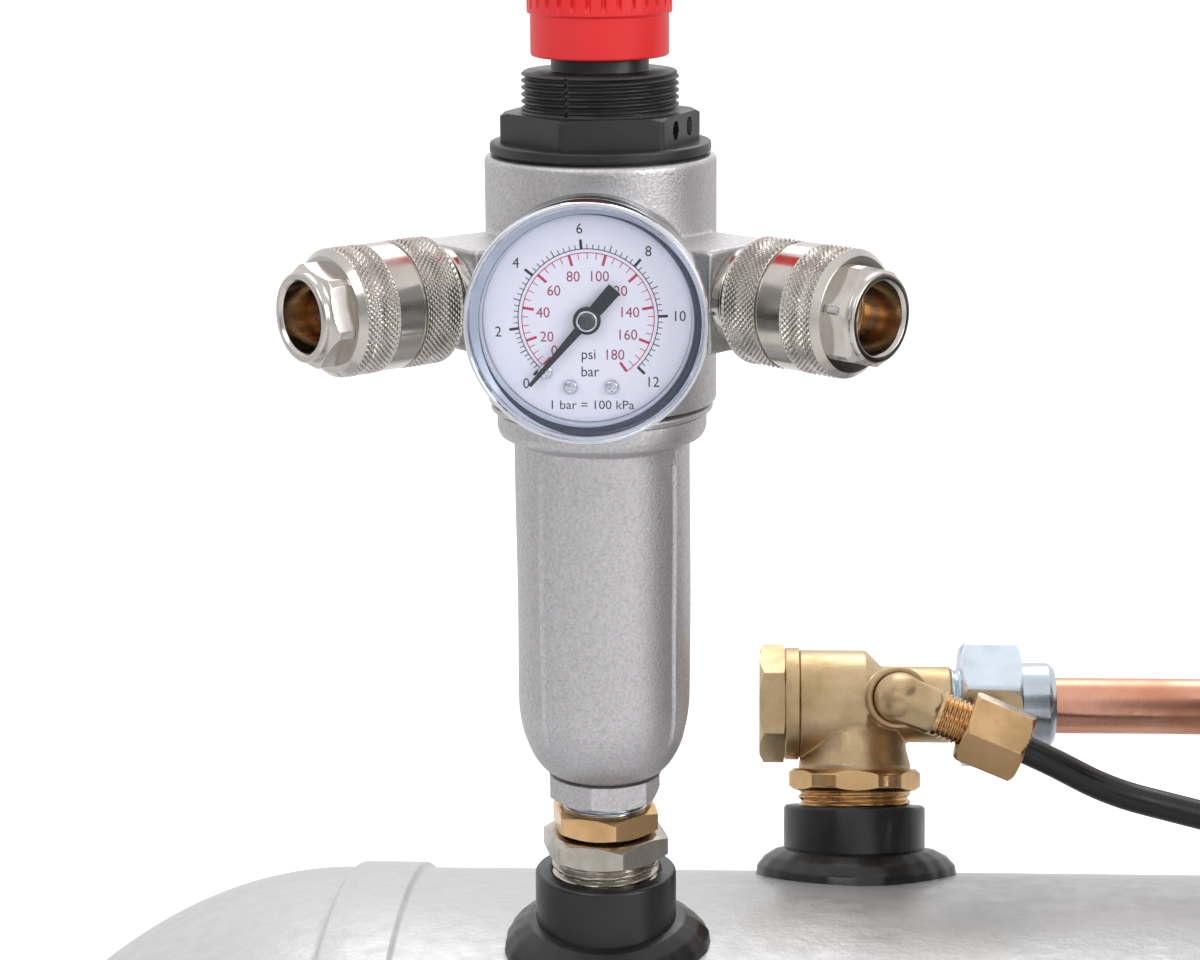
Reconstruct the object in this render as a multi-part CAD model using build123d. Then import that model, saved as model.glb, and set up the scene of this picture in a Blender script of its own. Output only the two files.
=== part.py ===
from build123d import *
import math
import os

os.makedirs("parts", exist_ok=True)

# Wheeled piston air compressor with one cylinder and the motor in line with the crank, on a lying tank.
# X runs along the tank with the pressure regulator at the -X end, the regulator gauge faces -Y, Z is up.
# The origin is on the floor under the middle of the machine. All sizes are millimetres and degrees.

# Tank
tank_radius = 150.0
tank_wall = 2.5
tank_axis_height = 215.0
seam_span = 550.0
seam_width = 13.5
seam_proud = 1.2
seam_slope = 1.2
head_depth = 105.0
head_flange = 2.0
lap_depth = 9.0
lap_clearance = 0.05

# Places of the fittings on the tank
outlet_from_seam = 48.8
outlet_forward = 9.4
check_valve_from_outlet = 50.85
check_valve_tilt = 18.0
switch_from_outlet = 163.0
switch_forward = 60.0

# Sockets welded to the tank
thread_clearance = 0.05
outlet_socket_radius = 13.75
outlet_socket_height = 15.3
check_socket_radius = 15.15
check_socket_height = 14.5
small_socket_radius = 11.0
small_socket_height = 15.0
socket_edge = 0.8
weld_reach = 6.4
weld_height = 4.8
weld_root_depth = 8.0

# Nipples under the regulator
outlet_thread_radius = 10.45
steel_hex_flats = 22.0
steel_hex_height = 4.8
steel_hex_gap = 3.3
steel_hex_turn = 47.0
brass_hex_flats = 19.0
brass_hex_height = 4.8
brass_hex_gap = 0.4
brass_hex_turn = 42.0
brass_lower_thread_radius = 6.6
brass_upper_thread_radius = 8.3
brass_collar_radius = 9.0
nipple_bore_radius = 4.5
nipple_thread_length = 13.0

# Filter bowl of the regulator
bowl_hex_flats = 19.4
bowl_hex_height = 5.3
bowl_hex_gap = 1.5
bowl_hex_turn = 19.0
bowl_radius = 16.5
bowl_wall = 2.3
bowl_dome_height = 16.2
bowl_dome_neck_radius = 8.6
bowl_length = 67.6
bowl_collar_radius = 19.7
bowl_collar_height = 5.6
bowl_collar_slope = 5.0
bowl_rib_height = 0.5
bowl_rib_width = 1.0
bowl_rib_angles = (-138.0, -42.0, 56.0, 138.0)
bowl_thread_length = 8.0
seal_gap = 1.0

# Regulator body
regulator_radius = 21.4
regulator_height = 45.7
regulator_wall = 4.4
regulator_edge = 0.8
port_height = 23.0
port_angle = 48.6
port_block_width = 18.5
port_block_reach = 35.4
port_block_edge = 1.0
gauge_port_height = 24.1
gauge_pad_radius = 18.7
gauge_pad_reach = 28.0
gauge_stem_radius = 4.8

# Regulator bonnet, adjusting screw and knob
bonnet_flange_radius = 20.4
bonnet_flange_height = 2.0
bonnet_gap = 0.5
bonnet_hex_flats = 32.3
bonnet_hex_height = 5.4
bonnet_hex_turn = 10.0
bonnet_thread_radius = 14.5
bonnet_thread_height = 7.4
bonnet_neck_radius = 9.0
bonnet_neck_height = 2.5
bonnet_spigot_length = 9.0
bonnet_wall = 2.6
screw_radius = 5.0
screw_length = 38.0
screw_plate_radius = 10.5
screw_plate_height = 2.0
knob_radius = 12.7
knob_grip_radius = 13.3
knob_skirt_height = 7.9
knob_height = 33.0
knob_wall = 3.0
knob_rib_count = 30
knob_rib_depth = 0.7
knob_edge = 1.6
knob_gap = 0.2
knob_lift = 3.0
running_clearance = 0.05
spring_wire = 1.4
spring_turns = 4.0

# Regulator gauge
gauge_radius = 20.3
gauge_front = 56.3
gauge_depth = 24.0
gauge_bezel_depth = 5.2
gauge_bezel_width = 2.0
gauge_case_step = 1.2
gauge_wall = 1.6
gauge_hex_flats = 14.0
gauge_dial_depth = 5.2
gauge_dial_thickness = 0.6
gauge_glass_depth = 0.8
gauge_glass_thickness = 1.2
pointer_length = 14.0
pointer_tail = 7.5
pointer_width = 1.1
pointer_thickness = 0.4
pointer_hub_radius = 2.0
pointer_pin_radius = 0.8
pointer_zero = -139.0

# Quick couplers
coupler_length = 31.2
coupler_nose_length = 5.5
coupler_nose_radius = 7.9
coupler_nose_ring = 1.7
coupler_collar_radius = 9.2
coupler_collar_flats = 16.6
coupler_collar_turn = 15.0
coupler_body_radius = 7.6
coupler_bore_radius = 6.2
coupler_seat_radius = 4.2
coupler_seat_depth = 14.6
coupler_seat_thickness = 1.5
coupler_thread_radius = 6.5
coupler_thread_length = 9.0
coupler_shoulder_radius = 9.0
coupler_shoulder_length = 2.6
coupler_sleeve_radius = 11.4
coupler_sleeve_length = 20.8
coupler_sleeve_edge = 1.2
coupler_band_start = 8.0
coupler_band_length = 5.0
coupler_band_depth = 0.5
coupler_sleeve_gap = 0.2
coupler_counterbore = 6.5
coupler_pull = 3.2
coupler_poppet_gap = 0.3
coupler_poppet_stroke = 3.0

# Check valve
check_thread_radius = 12.1
check_hex_flats = 27.0
check_hex_turned_radius = 14.2
check_hex_gap = 3.2
check_hex_height = 4.6
check_neck_radius = 11.2
check_axis_height = 36.2
check_barrel_radius = 11.6
check_barrel_left = 12.0
check_barrel_right = 4.0
check_outlet_radius = 8.2
check_outlet_length = 16.5
check_cap_flange_radius = 12.1
check_cap_flange_length = 3.1
check_cap_hex_flats = 22.3
check_cap_hex_length = 5.4
check_chamber_radius = 9.0
check_inlet_radius = 5.4
check_poppet_stroke = 4.0
check_poppet_length = 5.0
check_poppet_stem = 3.0

# Unloader elbow on the check valve and its tube
unloader_boss_radius = 6.6
unloader_reach = 21.8
unloader_place = 8.6
unloader_slope = 22.0
unloader_rise = 1.4
unloader_arm_radius = 4.9
unloader_stub = 6.0
unloader_arm_length = 15.2
unloader_nut_flats = 14.0
unloader_nut_length = 12.5
unloader_nut_turn = 10.0
unloader_tube_radius = 3.0

# Delivery pipe of copper with its two nuts
pipe_radius = 6.0
pipe_wall = 1.0
pipe_bend_radius = 24.0
pipe_first_run = 78.0
nut_hex_flats = 24.0
nut_hex_length = 12.7
pipe_nut_turn = 15.0
nut_collar_radius = 9.15
nut_collar_length = 7.5

# Undercarriage
sheet = 3.0
foot_bracket_inset = 62.0
foot_bracket_length = 56.0
foot_half_span = 112.0
foot_height = 30.0
foot_radius = 17.0
foot_top_radius = 13.0
foot_side = 88.0
bracket_top_clearance = 8.0
wheel_bracket_inset = 70.0
wheel_bracket_length = 60.0
wheel_half_span = 136.0
wheel_bracket_drop = 15.0
wheel_radius = 75.0
wheel_width = 36.0
tyre_thickness = 17.0
wheel_hub_radius = 17.0
wheel_hub_width = 38.0
wheel_disc_thickness = 16.0
wheel_rim_thickness = 4.0
wheel_rib_count = 8
wheel_bolt_radius = 6.0
wheel_bolt_flats = 19.0
wheel_bolt_head = 7.5
wheel_nut_height = 10.0
wheel_nut_room = 12.0
wheel_end_gap = 0.5

# Handle
handle_tube_radius = 12.5
handle_tube_wall = 2.0
handle_side = 92.0
handle_root_height = 62.0
handle_rise = 40.0
handle_length = 150.0
handle_bend_radius = 42.0
grip_radius = 16.0
grip_length = 96.0
grip_clearance = 0.1

# Platform under the pump and its rubber pads
pump_from_outlet = 258.0
platform_height = 22.0
platform_half_width = 78.0
platform_sheet = 4.0
platform_front = 54.0
platform_back = 222.0
platform_skirt = 22.0
pad_radius = 14.0
pad_height = 12.0
pad_side = 62.0

# Pump
crank_height = 62.0
crankcase_half_length = 46.0
crankcase_radius = 56.0
crankcase_wall = 6.0
crankcase_sump_half_width = 50.0
crankcase_foot_thickness = 8.0
crankcase_foot_half_width = 80.0
deck_width = 86.0
deck_height = 66.0
deck_corner = 10.0
cover_thickness = 7.0
cover_boss_radius = 26.0
cover_boss_height = 5.0
cover_screw_count = 6
cover_screw_radius = 4.0
sight_glass_radius = 9.0
sight_glass_drop = 30.0
sight_glass_proud = 2.0
breather_angle = 66.0
breather_radius = 11.0
breather_height = 14.0
bore_radius = 23.5
liner_wall = 5.5
fin_width = 86.0
fin_corner = 12.0
fin_thickness = 2.6
fin_pitch = 7.4
fin_count = 7
cylinder_flange = 6.0
spigot_length = 12.0
crank_radius = 20.0
rod_length = 85.0
piston_clearance = 0.15
piston_crown_height = 21.0
piston_skirt = 20.0
piston_wall = 5.0
piston_top_gap = 0.6
ring_width = 2.0
ring_depth = 1.4
wrist_pin_radius = 6.0
rod_thickness = 15.0
rod_big_radius = 14.5
rod_small_radius = 10.0
rod_shank_width = 14.0
rod_shank_thickness = 7.0
crank_pin_radius = 9.0
crank_pin_gap = 0.3
crank_web_thickness = 11.0
crank_web_radius = 37.0
crank_cheek_half_width = 16.0
shaft_radius = 12.0
valve_plate_thickness = 4.0
head_base = 14.0
head_fin_height = 20.0
head_fin_count = 9
head_chamber_depth = 8.0
head_boss_radius = 12.0
head_boss_length = 9.0
head_port_side = 24.0
head_bolt_side = 35.0
head_bolt_radius = 4.0
head_bolt_flats = 13.0
head_bolt_head = 6.0
filter_radius = 34.0
filter_length = 38.0
filter_neck_radius = 11.0
filter_neck_length = 11.0
filter_wall = 2.5
filter_slot_count = 16

# Motor
motor_length = 176.0
motor_radius = 60.0
motor_wall = 6.0
motor_fin_count = 26
motor_fin_height = 6.0
motor_fin_thickness = 2.4
motor_bell = 8.0
motor_foot_from_end = 52.0
motor_foot_length = 42.0
stator_start = 26.0
stator_length = 96.0
stator_bore_radius = 33.0
air_gap = 0.5
fan_gap = 7.0
fan_width = 16.0
fan_radius = 52.0
fan_hub_radius = 16.0
fan_blade_count = 9
fan_blade_thickness = 2.4
fan_blade_pitch = 38.0
cowl_radius = 64.0
cowl_wall = 2.4
cowl_length = 42.0
cowl_ring_count = 5
cowl_spoke_count = 12
cowl_bar = 2.6
terminal_length = 104.0
terminal_width = 66.0
terminal_height = 34.0
terminal_corner = 8.0
terminal_from_end = 98.0

# Pressure switch on its manifold
manifold_size = 26.0
manifold_height = 30.0
manifold_neck = 5.0
manifold_neck_radius = 6.6
manifold_top_neck = 8.0
switch_length = 76.0
switch_width = 60.0
switch_base_height = 22.0
switch_cover_height = 58.0
switch_corner = 9.0
switch_wall = 2.5
switch_knob_radius = 11.0
switch_knob_height = 15.0
switch_knob_travel = 6.0
switch_stem_radius = 4.0
gland_radius = 8.0
gland_length = 14.0
unloader_port_side = 26.0
unloader_port_forward = 12.0
unloader_port_flats = 12.0
unloader_port_length = 13.0
safety_flats = 14.0
safety_body_length = 22.0
safety_body_radius = 6.4
safety_stem_radius = 2.0
safety_ring_radius = 9.0
safety_ring_wire = 1.1
safety_travel = 2.5
tank_gauge_radius = 20.0
tank_gauge_depth = 22.0
tank_gauge_stem = 10.0

# Drain valve under the tank and inspection plug in the right head
drain_thread_radius = 6.5
drain_hex_flats = 17.0
drain_hex_height = 7.0
drain_nose_radius = 5.0
drain_nose_length = 6.0
drain_knob_radius = 9.0
drain_knob_length = 9.0
plug_socket_radius = 19.0
plug_socket_height = 9.0
plug_thread_radius = 13.0
plug_flats = 27.0
plug_head = 7.0

# Derived places of the tank along its own middle
shell_half = seam_span / 2 + seam_width / 2
head_start = shell_half + head_flange
tank_half = head_start + head_depth
handle_root_radius = math.hypot(handle_side, handle_root_height)
handle_root = head_start + head_depth * math.sqrt(1 - (handle_root_radius / tank_radius) ** 2)
handle_run = handle_length * math.cos(math.radians(handle_rise))
handle_reach = handle_root + handle_run + grip_radius
plug_reach = tank_half + plug_socket_height + plug_head
tank_x = (handle_reach - plug_reach) / 2
outlet_x = tank_x - seam_span / 2 + outlet_from_seam


def surface_height(y):
    """Height of the tank's round wall above the floor at a distance from the middle plane."""
    return tank_axis_height + math.sqrt(tank_radius ** 2 - y ** 2)


# Frames of the sub-assemblies
tank_frame = Plane(origin=(tank_x, 0, tank_axis_height), x_dir=(1, 0, 0), z_dir=(0, 0, 1))
outlet_frame = Plane(
    origin=(outlet_x, -outlet_forward, surface_height(outlet_forward)), x_dir=(1, 0, 0), z_dir=(0, 0, 1)
)
tilt_sine = math.sin(math.radians(check_valve_tilt))
tilt_cosine = math.cos(math.radians(check_valve_tilt))
check_frame = Plane(
    origin=(
        outlet_x + check_valve_from_outlet,
        tank_radius * tilt_sine,
        tank_axis_height + tank_radius * tilt_cosine,
    ),
    x_dir=(1, 0, 0),
    z_dir=(0, tilt_sine, tilt_cosine),
)
switch_frame = Plane(
    origin=(outlet_x + switch_from_outlet, -switch_forward, surface_height(switch_forward)),
    x_dir=(1, 0, 0),
    z_dir=(0, 0, 1),
)
platform_top = tank_axis_height + tank_radius + platform_height
crank_z = platform_top + pad_height + crank_height
pump_x = outlet_x + pump_from_outlet
pump_frame = Plane(origin=(pump_x, 0, crank_z), x_dir=(1, 0, 0), z_dir=(0, 0, 1))
drain_frame = Plane(
    origin=(tank_x, 0, tank_axis_height - tank_radius), x_dir=(1, 0, 0), z_dir=(0, 0, -1)
)
plug_frame = Plane(
    origin=(tank_x + tank_half, 0, tank_axis_height), x_dir=(0, 1, 0), z_dir=(1, 0, 0)
)
wheel_bracket_base = min(
    tank_axis_height - tank_radius - wheel_bracket_drop,
    wheel_radius - wheel_bolt_flats / 2 - wheel_nut_room - sheet,
)

# Heights on the regulator column, above the tank
steel_hex_bottom = outlet_socket_height + steel_hex_gap
steel_hex_top = steel_hex_bottom + steel_hex_height
brass_hex_bottom = steel_hex_top + brass_hex_gap
brass_hex_top = brass_hex_bottom + brass_hex_height
bowl_hex_bottom = brass_hex_top + bowl_hex_gap
bowl_hex_top = bowl_hex_bottom + bowl_hex_height
bowl_straight = bowl_hex_top + bowl_dome_height
bowl_collar_bottom = bowl_hex_top + bowl_length
bowl_top = bowl_collar_bottom + bowl_collar_height
regulator_bottom = bowl_top + seal_gap
regulator_top = regulator_bottom + regulator_height
port_z = regulator_bottom + port_height
gauge_z = regulator_bottom + gauge_port_height
bonnet_flange_bottom = regulator_top + bonnet_gap
bonnet_hex_bottom = bonnet_flange_bottom + bonnet_flange_height
bonnet_thread_bottom = bonnet_hex_bottom + bonnet_hex_height
bonnet_top = bonnet_thread_bottom + bonnet_thread_height
neck_top = bonnet_top + bonnet_neck_height
knob_bottom = neck_top + knob_gap
knob_top = knob_bottom + knob_height
gauge_frame = Plane(
    origin=outlet_frame.from_local_coords(Vector(0, 0, gauge_z)), x_dir=(1, 0, 0), z_dir=(0, -1, 0)
)
coupler_mouth = port_block_reach + coupler_length


# Shape helpers: the axis of each is Z of its own frame
def rod(radius, start, end):
    """Round bar between two heights."""
    return Pos(0, 0, (start + end) / 2) * Cylinder(radius, end - start)


def tube(outer, inner, start, end):
    """Round tube between two heights."""
    return rod(outer, start, end) - rod(inner, start, end)


def hexagon(flats, start, end, turn=0.0):
    """Hexagonal bar between two heights, with its corners turned down at both ends."""
    bar = extrude(RegularPolygon(flats / 2, 6, major_radius=False, rotation=turn), end - start)
    corner = flats / math.sqrt(3)
    chamfer_height = min((corner - flats / 2) * 0.6, (end - start) * 0.3)
    turning = turned(
        (0, start),
        (flats / 2, start),
        (corner, start + chamfer_height),
        (corner, end - chamfer_height),
        (flats / 2, end),
        (0, end),
    )
    return Pos(0, 0, start) * bar & turning


def turned(*points):
    """Solid turned about Z from (radius, height) points of its half outline."""
    outline = Polyline(*[(radius, 0, height) for radius, height in points], close=True)
    return revolve(make_face(outline), Axis.Z)


def along_x(part):
    """Lay a part that stands along Z so that it points along +X."""
    return Rot(0, 90, 0) * part


def to_front(part):
    """Lay a part that stands along Z so that it points along -Y."""
    return Rot(90, 0, 0) * part


def rounded_box(length, width, bottom, top, corner):
    """Upright box with rounded upright corners."""
    outline = RectangleRounded(length, width, corner)
    return Pos(0, 0, bottom) * extrude(outline, top - bottom)


def place(frame, part):
    """Put a part that was made at the origin into a frame."""
    return frame.location * part


def group(*parts):
    """Several separate solids kept together under one name."""
    return Compound(children=[solid for part in parts for solid in part.solids()])


# Tank
def head_outline(radius, depth, start, skirt_end):
    """Closed half outline of a solid elliptical head, in the plane of its length and radius."""
    curve = EllipticalCenterArc((start, 0, 0), depth, radius, start_angle=0, arc_size=90)
    skirt = Polyline((start, radius), (skirt_end, radius), (skirt_end, 0), (start + depth, 0))
    return make_face([curve, skirt])


def tank_envelope():
    """Outer form of the whole tank as one solid, used to trim what is welded to it."""
    half = head_outline(tank_radius, head_depth, head_start, 0)
    end = revolve(half, Axis.X)
    proud = tank_radius + seam_proud
    band_start = shell_half - seam_width
    band = along_x(rod(proud, band_start + seam_slope, shell_half))
    return end + mirror(end, Plane.YZ) + band + mirror(band, Plane.YZ)


def tank_shell():
    """Rolled barrel whose two ends are opened out over the heads."""
    outer = [
        (tank_radius + seam_proud, -shell_half),
        (tank_radius + seam_proud, -shell_half + seam_width - seam_slope),
        (tank_radius, -shell_half + seam_width),
        (tank_radius, shell_half - seam_width),
        (tank_radius + seam_proud, shell_half - seam_width + seam_slope),
        (tank_radius + seam_proud, shell_half),
    ]
    inner = [(radius - tank_wall, height) for radius, height in reversed(outer)]
    barrel = place(tank_frame, along_x(turned(*outer, *inner)))
    holes = [
        place(outlet_frame, rod(outlet_thread_radius, -3 * tank_wall, tank_wall)),
        place(check_frame, rod(check_thread_radius, -3 * tank_wall, tank_wall)),
        place(switch_frame, rod(manifold_neck_radius, -5 * tank_wall, 4 * tank_wall)),
        place(drain_frame, rod(drain_thread_radius, -3 * tank_wall, tank_wall)),
    ]
    for hole in holes:
        barrel -= hole
    return barrel


def tank_head():
    """Pressed elliptical head at the +X end, with a stepped-in skirt under the barrel's end."""
    lap_radius = tank_radius + seam_proud - tank_wall - lap_clearance
    outer = head_outline(tank_radius, head_depth, head_start, shell_half + lap_clearance)
    inner = head_outline(
        tank_radius - tank_wall, head_depth - tank_wall, head_start, shell_half - lap_depth
    )
    skirt = along_x(rod(lap_radius, shell_half - lap_depth, shell_half + lap_clearance))
    return revolve(outer, Axis.X) + skirt - revolve(inner, Axis.X)


def make_tank():
    """Barrel and both heads, three solids welded into one vessel."""
    right = tank_head()
    left = mirror(right, Plane.YZ)
    right -= along_x(rod(plug_thread_radius, tank_half - 10 * tank_wall, tank_half + tank_wall))
    return group(tank_shell(), place(tank_frame, right), place(tank_frame, left))


def weld_socket(radius, height, bore):
    """Threaded socket with the cone of its weld, standing on z = 0."""
    body = turned(
        (bore, -weld_root_depth),
        (bore, height),
        (radius - socket_edge, height),
        (radius, height - socket_edge),
        (radius, weld_height),
        (radius + weld_reach * 0.7, weld_height * 0.7),
        (radius + weld_reach, weld_height * 0.15),
        (radius + weld_reach, -weld_root_depth),
    )
    return body


def make_tank_bosses():
    """The five welded sockets: regulator, check valve, pressure switch, drain and inspection."""
    envelope = place(tank_frame, tank_envelope())
    sockets = [
        (outlet_frame, outlet_socket_radius, outlet_socket_height, outlet_thread_radius),
        (check_frame, check_socket_radius, check_socket_height, check_thread_radius),
        (switch_frame, small_socket_radius, small_socket_height, manifold_neck_radius),
        (drain_frame, small_socket_radius, small_socket_height * 0.8, drain_thread_radius),
        (plug_frame, plug_socket_radius, plug_socket_height, plug_thread_radius),
    ]
    solids = []
    for frame, radius, height, thread_radius in sockets:
        socket = place(frame, weld_socket(radius, height, thread_radius + thread_clearance))
        solids.append((socket - envelope).solids().sort_by(SortBy.VOLUME)[-1])
    plug = hexagon(plug_flats, plug_socket_height, plug_socket_height + plug_head)
    plug += rod(plug_thread_radius, 0, plug_socket_height)
    solids.append(place(plug_frame, plug))
    return group(*solids)


# Undercarriage
def web_height(half_span):
    """Height of a channel's ends: just under the tank's side, at most at the height of its axis."""
    reach = half_span - sheet
    depth = math.sqrt(max(tank_radius ** 2 - reach ** 2, 0))
    return tank_axis_height - depth - bracket_top_clearance


def saddle_channel(centre_x, length, half_span, base_z):
    """Sheet channel across the tank, open upwards, whose two webs are cut to the tank's belly."""
    web_top = web_height(half_span)
    base = Pos(centre_x, 0, base_z + sheet / 2) * Box(length, 2 * half_span, sheet)
    channel = base
    for side in (-1, 1):
        web_x = centre_x + side * (length - sheet) / 2
        web = Box(sheet, 2 * half_span, web_top - base_z)
        channel += Pos(web_x, 0, (base_z + web_top) / 2) * web
    return channel - place(tank_frame, tank_envelope())


def make_foot_bracket():
    """Channel under the regulator end that carries the two rubber feet."""
    centre_x = tank_x - seam_span / 2 + foot_bracket_inset
    channel = saddle_channel(centre_x, foot_bracket_length, foot_half_span, foot_height)
    for side in (-1, 1):
        channel -= Pos(centre_x, side * foot_side, 0) * rod(
            wheel_bolt_radius, foot_height - sheet, foot_height + 2 * sheet
        )
    return channel


def wheel_x():
    """Place of the wheel bolts along the machine."""
    return tank_x + seam_span / 2 - wheel_bracket_inset


def make_wheel_bracket():
    """Channel under the pump end with closed ends, which hold the two wheel bolts."""
    centre_x = wheel_x()
    channel = saddle_channel(centre_x, wheel_bracket_length, wheel_half_span, wheel_bracket_base)
    end_top = web_height(wheel_half_span)
    for side in (-1, 1):
        end = Box(wheel_bracket_length, sheet, end_top - wheel_bracket_base)
        end_y = side * (wheel_half_span - sheet / 2)
        channel += Pos(centre_x, end_y, (wheel_bracket_base + end_top) / 2) * end
        hole = to_front(rod(wheel_bolt_radius, -sheet, sheet))
        channel -= Pos(centre_x, end_y, wheel_radius) * hole
    return channel


def make_rubber_mounts():
    """Two feet under the front bracket and four pads under the pump and motor."""
    centre_x = tank_x - seam_span / 2 + foot_bracket_inset
    foot = turned(
        (0, 0),
        (foot_radius - 1.5, 0),
        (foot_radius, 1.5),
        (foot_radius, foot_height * 0.4),
        (foot_top_radius, foot_height * 0.75),
        (foot_top_radius + 1.5, foot_height),
        (wheel_bolt_radius - thread_clearance, foot_height),
        (wheel_bolt_radius - thread_clearance, foot_height + sheet),
        (wheel_bolt_radius + 3, foot_height + sheet),
        (wheel_bolt_radius + 3, foot_height + 2 * sheet),
        (0, foot_height + 2 * sheet),
    )
    feet = [Pos(centre_x, side * foot_side, 0) * foot for side in (-1, 1)]
    pad = turned(
        (0, 0),
        (pad_radius, 0),
        (pad_radius, pad_height * 0.25),
        (pad_radius - 2, pad_height * 0.5),
        (pad_radius, pad_height * 0.75),
        (pad_radius, pad_height),
        (0, pad_height),
    )
    pads = []
    for pad_x in (pump_x, pump_x + crankcase_half_length + motor_length - motor_foot_from_end):
        for side in (-1, 1):
            pads.append(Pos(pad_x, side * pad_side, platform_top) * pad)
    return group(*feet, *pads)


def wheel_start():
    """Distance from the middle plane to the inner face of a wheel hub."""
    return wheel_half_span + wheel_end_gap


def make_wheel(side):
    """Plastic wheel with ribs and its rubber tyre, on one side of the machine."""
    rim_radius = wheel_radius - tyre_thickness
    rim_inner = rim_radius - wheel_rim_thickness
    hub_bore = wheel_bolt_radius + running_clearance
    half_hub = wheel_hub_width / 2
    half_rim = wheel_width / 2 - 1
    half_disc = wheel_disc_thickness / 2
    wheel = turned(
        (hub_bore, -half_hub),
        (wheel_hub_radius, -half_hub),
        (wheel_hub_radius + 2, -half_disc),
        (rim_inner, -half_disc),
        (rim_inner, -half_rim),
        (rim_radius, -half_rim),
        (rim_radius, half_rim),
        (rim_inner, half_rim),
        (rim_inner, half_disc),
        (wheel_hub_radius + 2, half_disc),
        (wheel_hub_radius, half_hub),
        (hub_bore, half_hub),
    )
    rib_length = rim_inner - wheel_hub_radius + 1
    rib = Box(rib_length, wheel_rim_thickness, 2 * half_rim - 6)
    rib = Pos(wheel_hub_radius + rib_length / 2, 0, 0) * rib
    for index in range(wheel_rib_count):
        wheel += Rot(0, 0, index * 360 / wheel_rib_count) * rib
    half_tyre = wheel_width / 2
    tyre = turned(
        (rim_radius, -half_tyre + 3),
        (rim_radius + 5, -half_tyre),
        (wheel_radius - 6, -half_tyre),
        (wheel_radius - 1.5, -half_tyre + 5),
        (wheel_radius, -half_tyre + 11),
        (wheel_radius, half_tyre - 11),
        (wheel_radius - 1.5, half_tyre - 5),
        (wheel_radius - 6, half_tyre),
        (rim_radius + 5, half_tyre),
        (rim_radius, half_tyre - 3),
    )
    centre_y = side * (wheel_start() + half_hub)
    turn = Pos(wheel_x(), centre_y, wheel_radius) * Rot(90, 0, 0)
    return group(turn * wheel, turn * tyre)


def make_wheel_bolts():
    """A shoulder bolt and its nut for each wheel."""
    head_start_y = wheel_start() + wheel_hub_width + wheel_end_gap
    inner_end = wheel_half_span - sheet - wheel_nut_height - sheet
    bolt = rod(wheel_bolt_radius - thread_clearance, inner_end, head_start_y)
    bolt += rod(wheel_bolt_flats * 0.6, head_start_y, head_start_y + 1.5)
    bolt += hexagon(wheel_bolt_flats, head_start_y + 1.5, head_start_y + wheel_bolt_head)
    nut_top = wheel_half_span - sheet
    nut = hexagon(wheel_bolt_flats, nut_top - wheel_nut_height, nut_top)
    nut -= rod(wheel_bolt_radius, nut_top - 2 * wheel_nut_height, nut_top + 1)
    solids = []
    for turn in (90, -90):
        frame = Pos(wheel_x(), 0, wheel_radius) * Rot(turn, 0, 0)
        solids += [frame * bolt, frame * nut]
    return group(*solids)


# Handle
def handle_path():
    """Middle line of the U-shaped handle, from inside one side of the head to the other."""
    rise = math.radians(handle_rise)
    inside = 24.0
    root_x = tank_x - handle_root
    root_z = tank_axis_height + handle_root_height
    start_x = root_x + inside * math.cos(rise)
    start_z = root_z - inside * math.sin(rise)
    end_x = root_x - handle_length * math.cos(rise)
    end_z = root_z + handle_length * math.sin(rise)
    return [
        (start_x, -handle_side, start_z),
        (end_x, -handle_side, end_z),
        (end_x, handle_side, end_z),
        (start_x, handle_side, start_z),
    ]


def make_handle_tube():
    """Bent steel tube welded to both sides of the head."""
    path = FilletPolyline(*handle_path(), radius=handle_bend_radius)
    section_frame = Plane(origin=path @ 0, z_dir=path % 0)
    outer = sweep(section_frame * Circle(handle_tube_radius), path)
    inner = sweep(section_frame * Circle(handle_tube_radius - handle_tube_wall), path)
    handle = outer - inner - place(tank_frame, tank_envelope())
    return handle.solids().sort_by(SortBy.VOLUME)[-1]


def make_handle_grip():
    """Rubber sleeve on the cross bar of the handle."""
    corner = handle_path()[1]
    sleeve = turned(
        (handle_tube_radius + grip_clearance, -grip_length / 2),
        (grip_radius - 1.5, -grip_length / 2),
        (grip_radius, -grip_length / 2 + 1.5),
        (grip_radius, grip_length / 2 - 1.5),
        (grip_radius - 1.5, grip_length / 2),
        (handle_tube_radius + grip_clearance, grip_length / 2),
    )
    return Pos(corner[0], 0, corner[2]) * to_front(sleeve)


# Platform
def make_pump_platform():
    """Bent sheet bridge welded along the top of the tank."""
    length = platform_front + platform_back
    centre_x = pump_x + (platform_back - platform_front) / 2
    top_z = platform_top - platform_sheet / 2
    platform = Pos(centre_x, 0, top_z) * Box(length, 2 * platform_half_width, platform_sheet)
    skirt_height = platform_height + platform_skirt
    for side in (-1, 1):
        skirt_y = side * (platform_half_width - platform_sheet / 2)
        skirt = Box(length, platform_sheet, skirt_height)
        platform += Pos(centre_x, skirt_y, platform_top - skirt_height / 2) * skirt
    opening = RectangleRounded(length * 0.3, platform_half_width, 12)
    window = Pos(centre_x - 12, 0, platform_top - 2 * platform_sheet) * extrude(opening, 3 * platform_sheet)
    platform -= window
    return platform - place(tank_frame, tank_envelope())


# Pump. These parts are made about the crank axis under the middle of the cylinder.
cylinder_top = rod_length + crank_radius + piston_crown_height + piston_top_gap
head_bottom = cylinder_top + valve_plate_thickness
head_deck = head_bottom + head_base
cavity_radius = crankcase_radius - crankcase_wall
back_wall = crankcase_half_length - crankcase_wall


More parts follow.
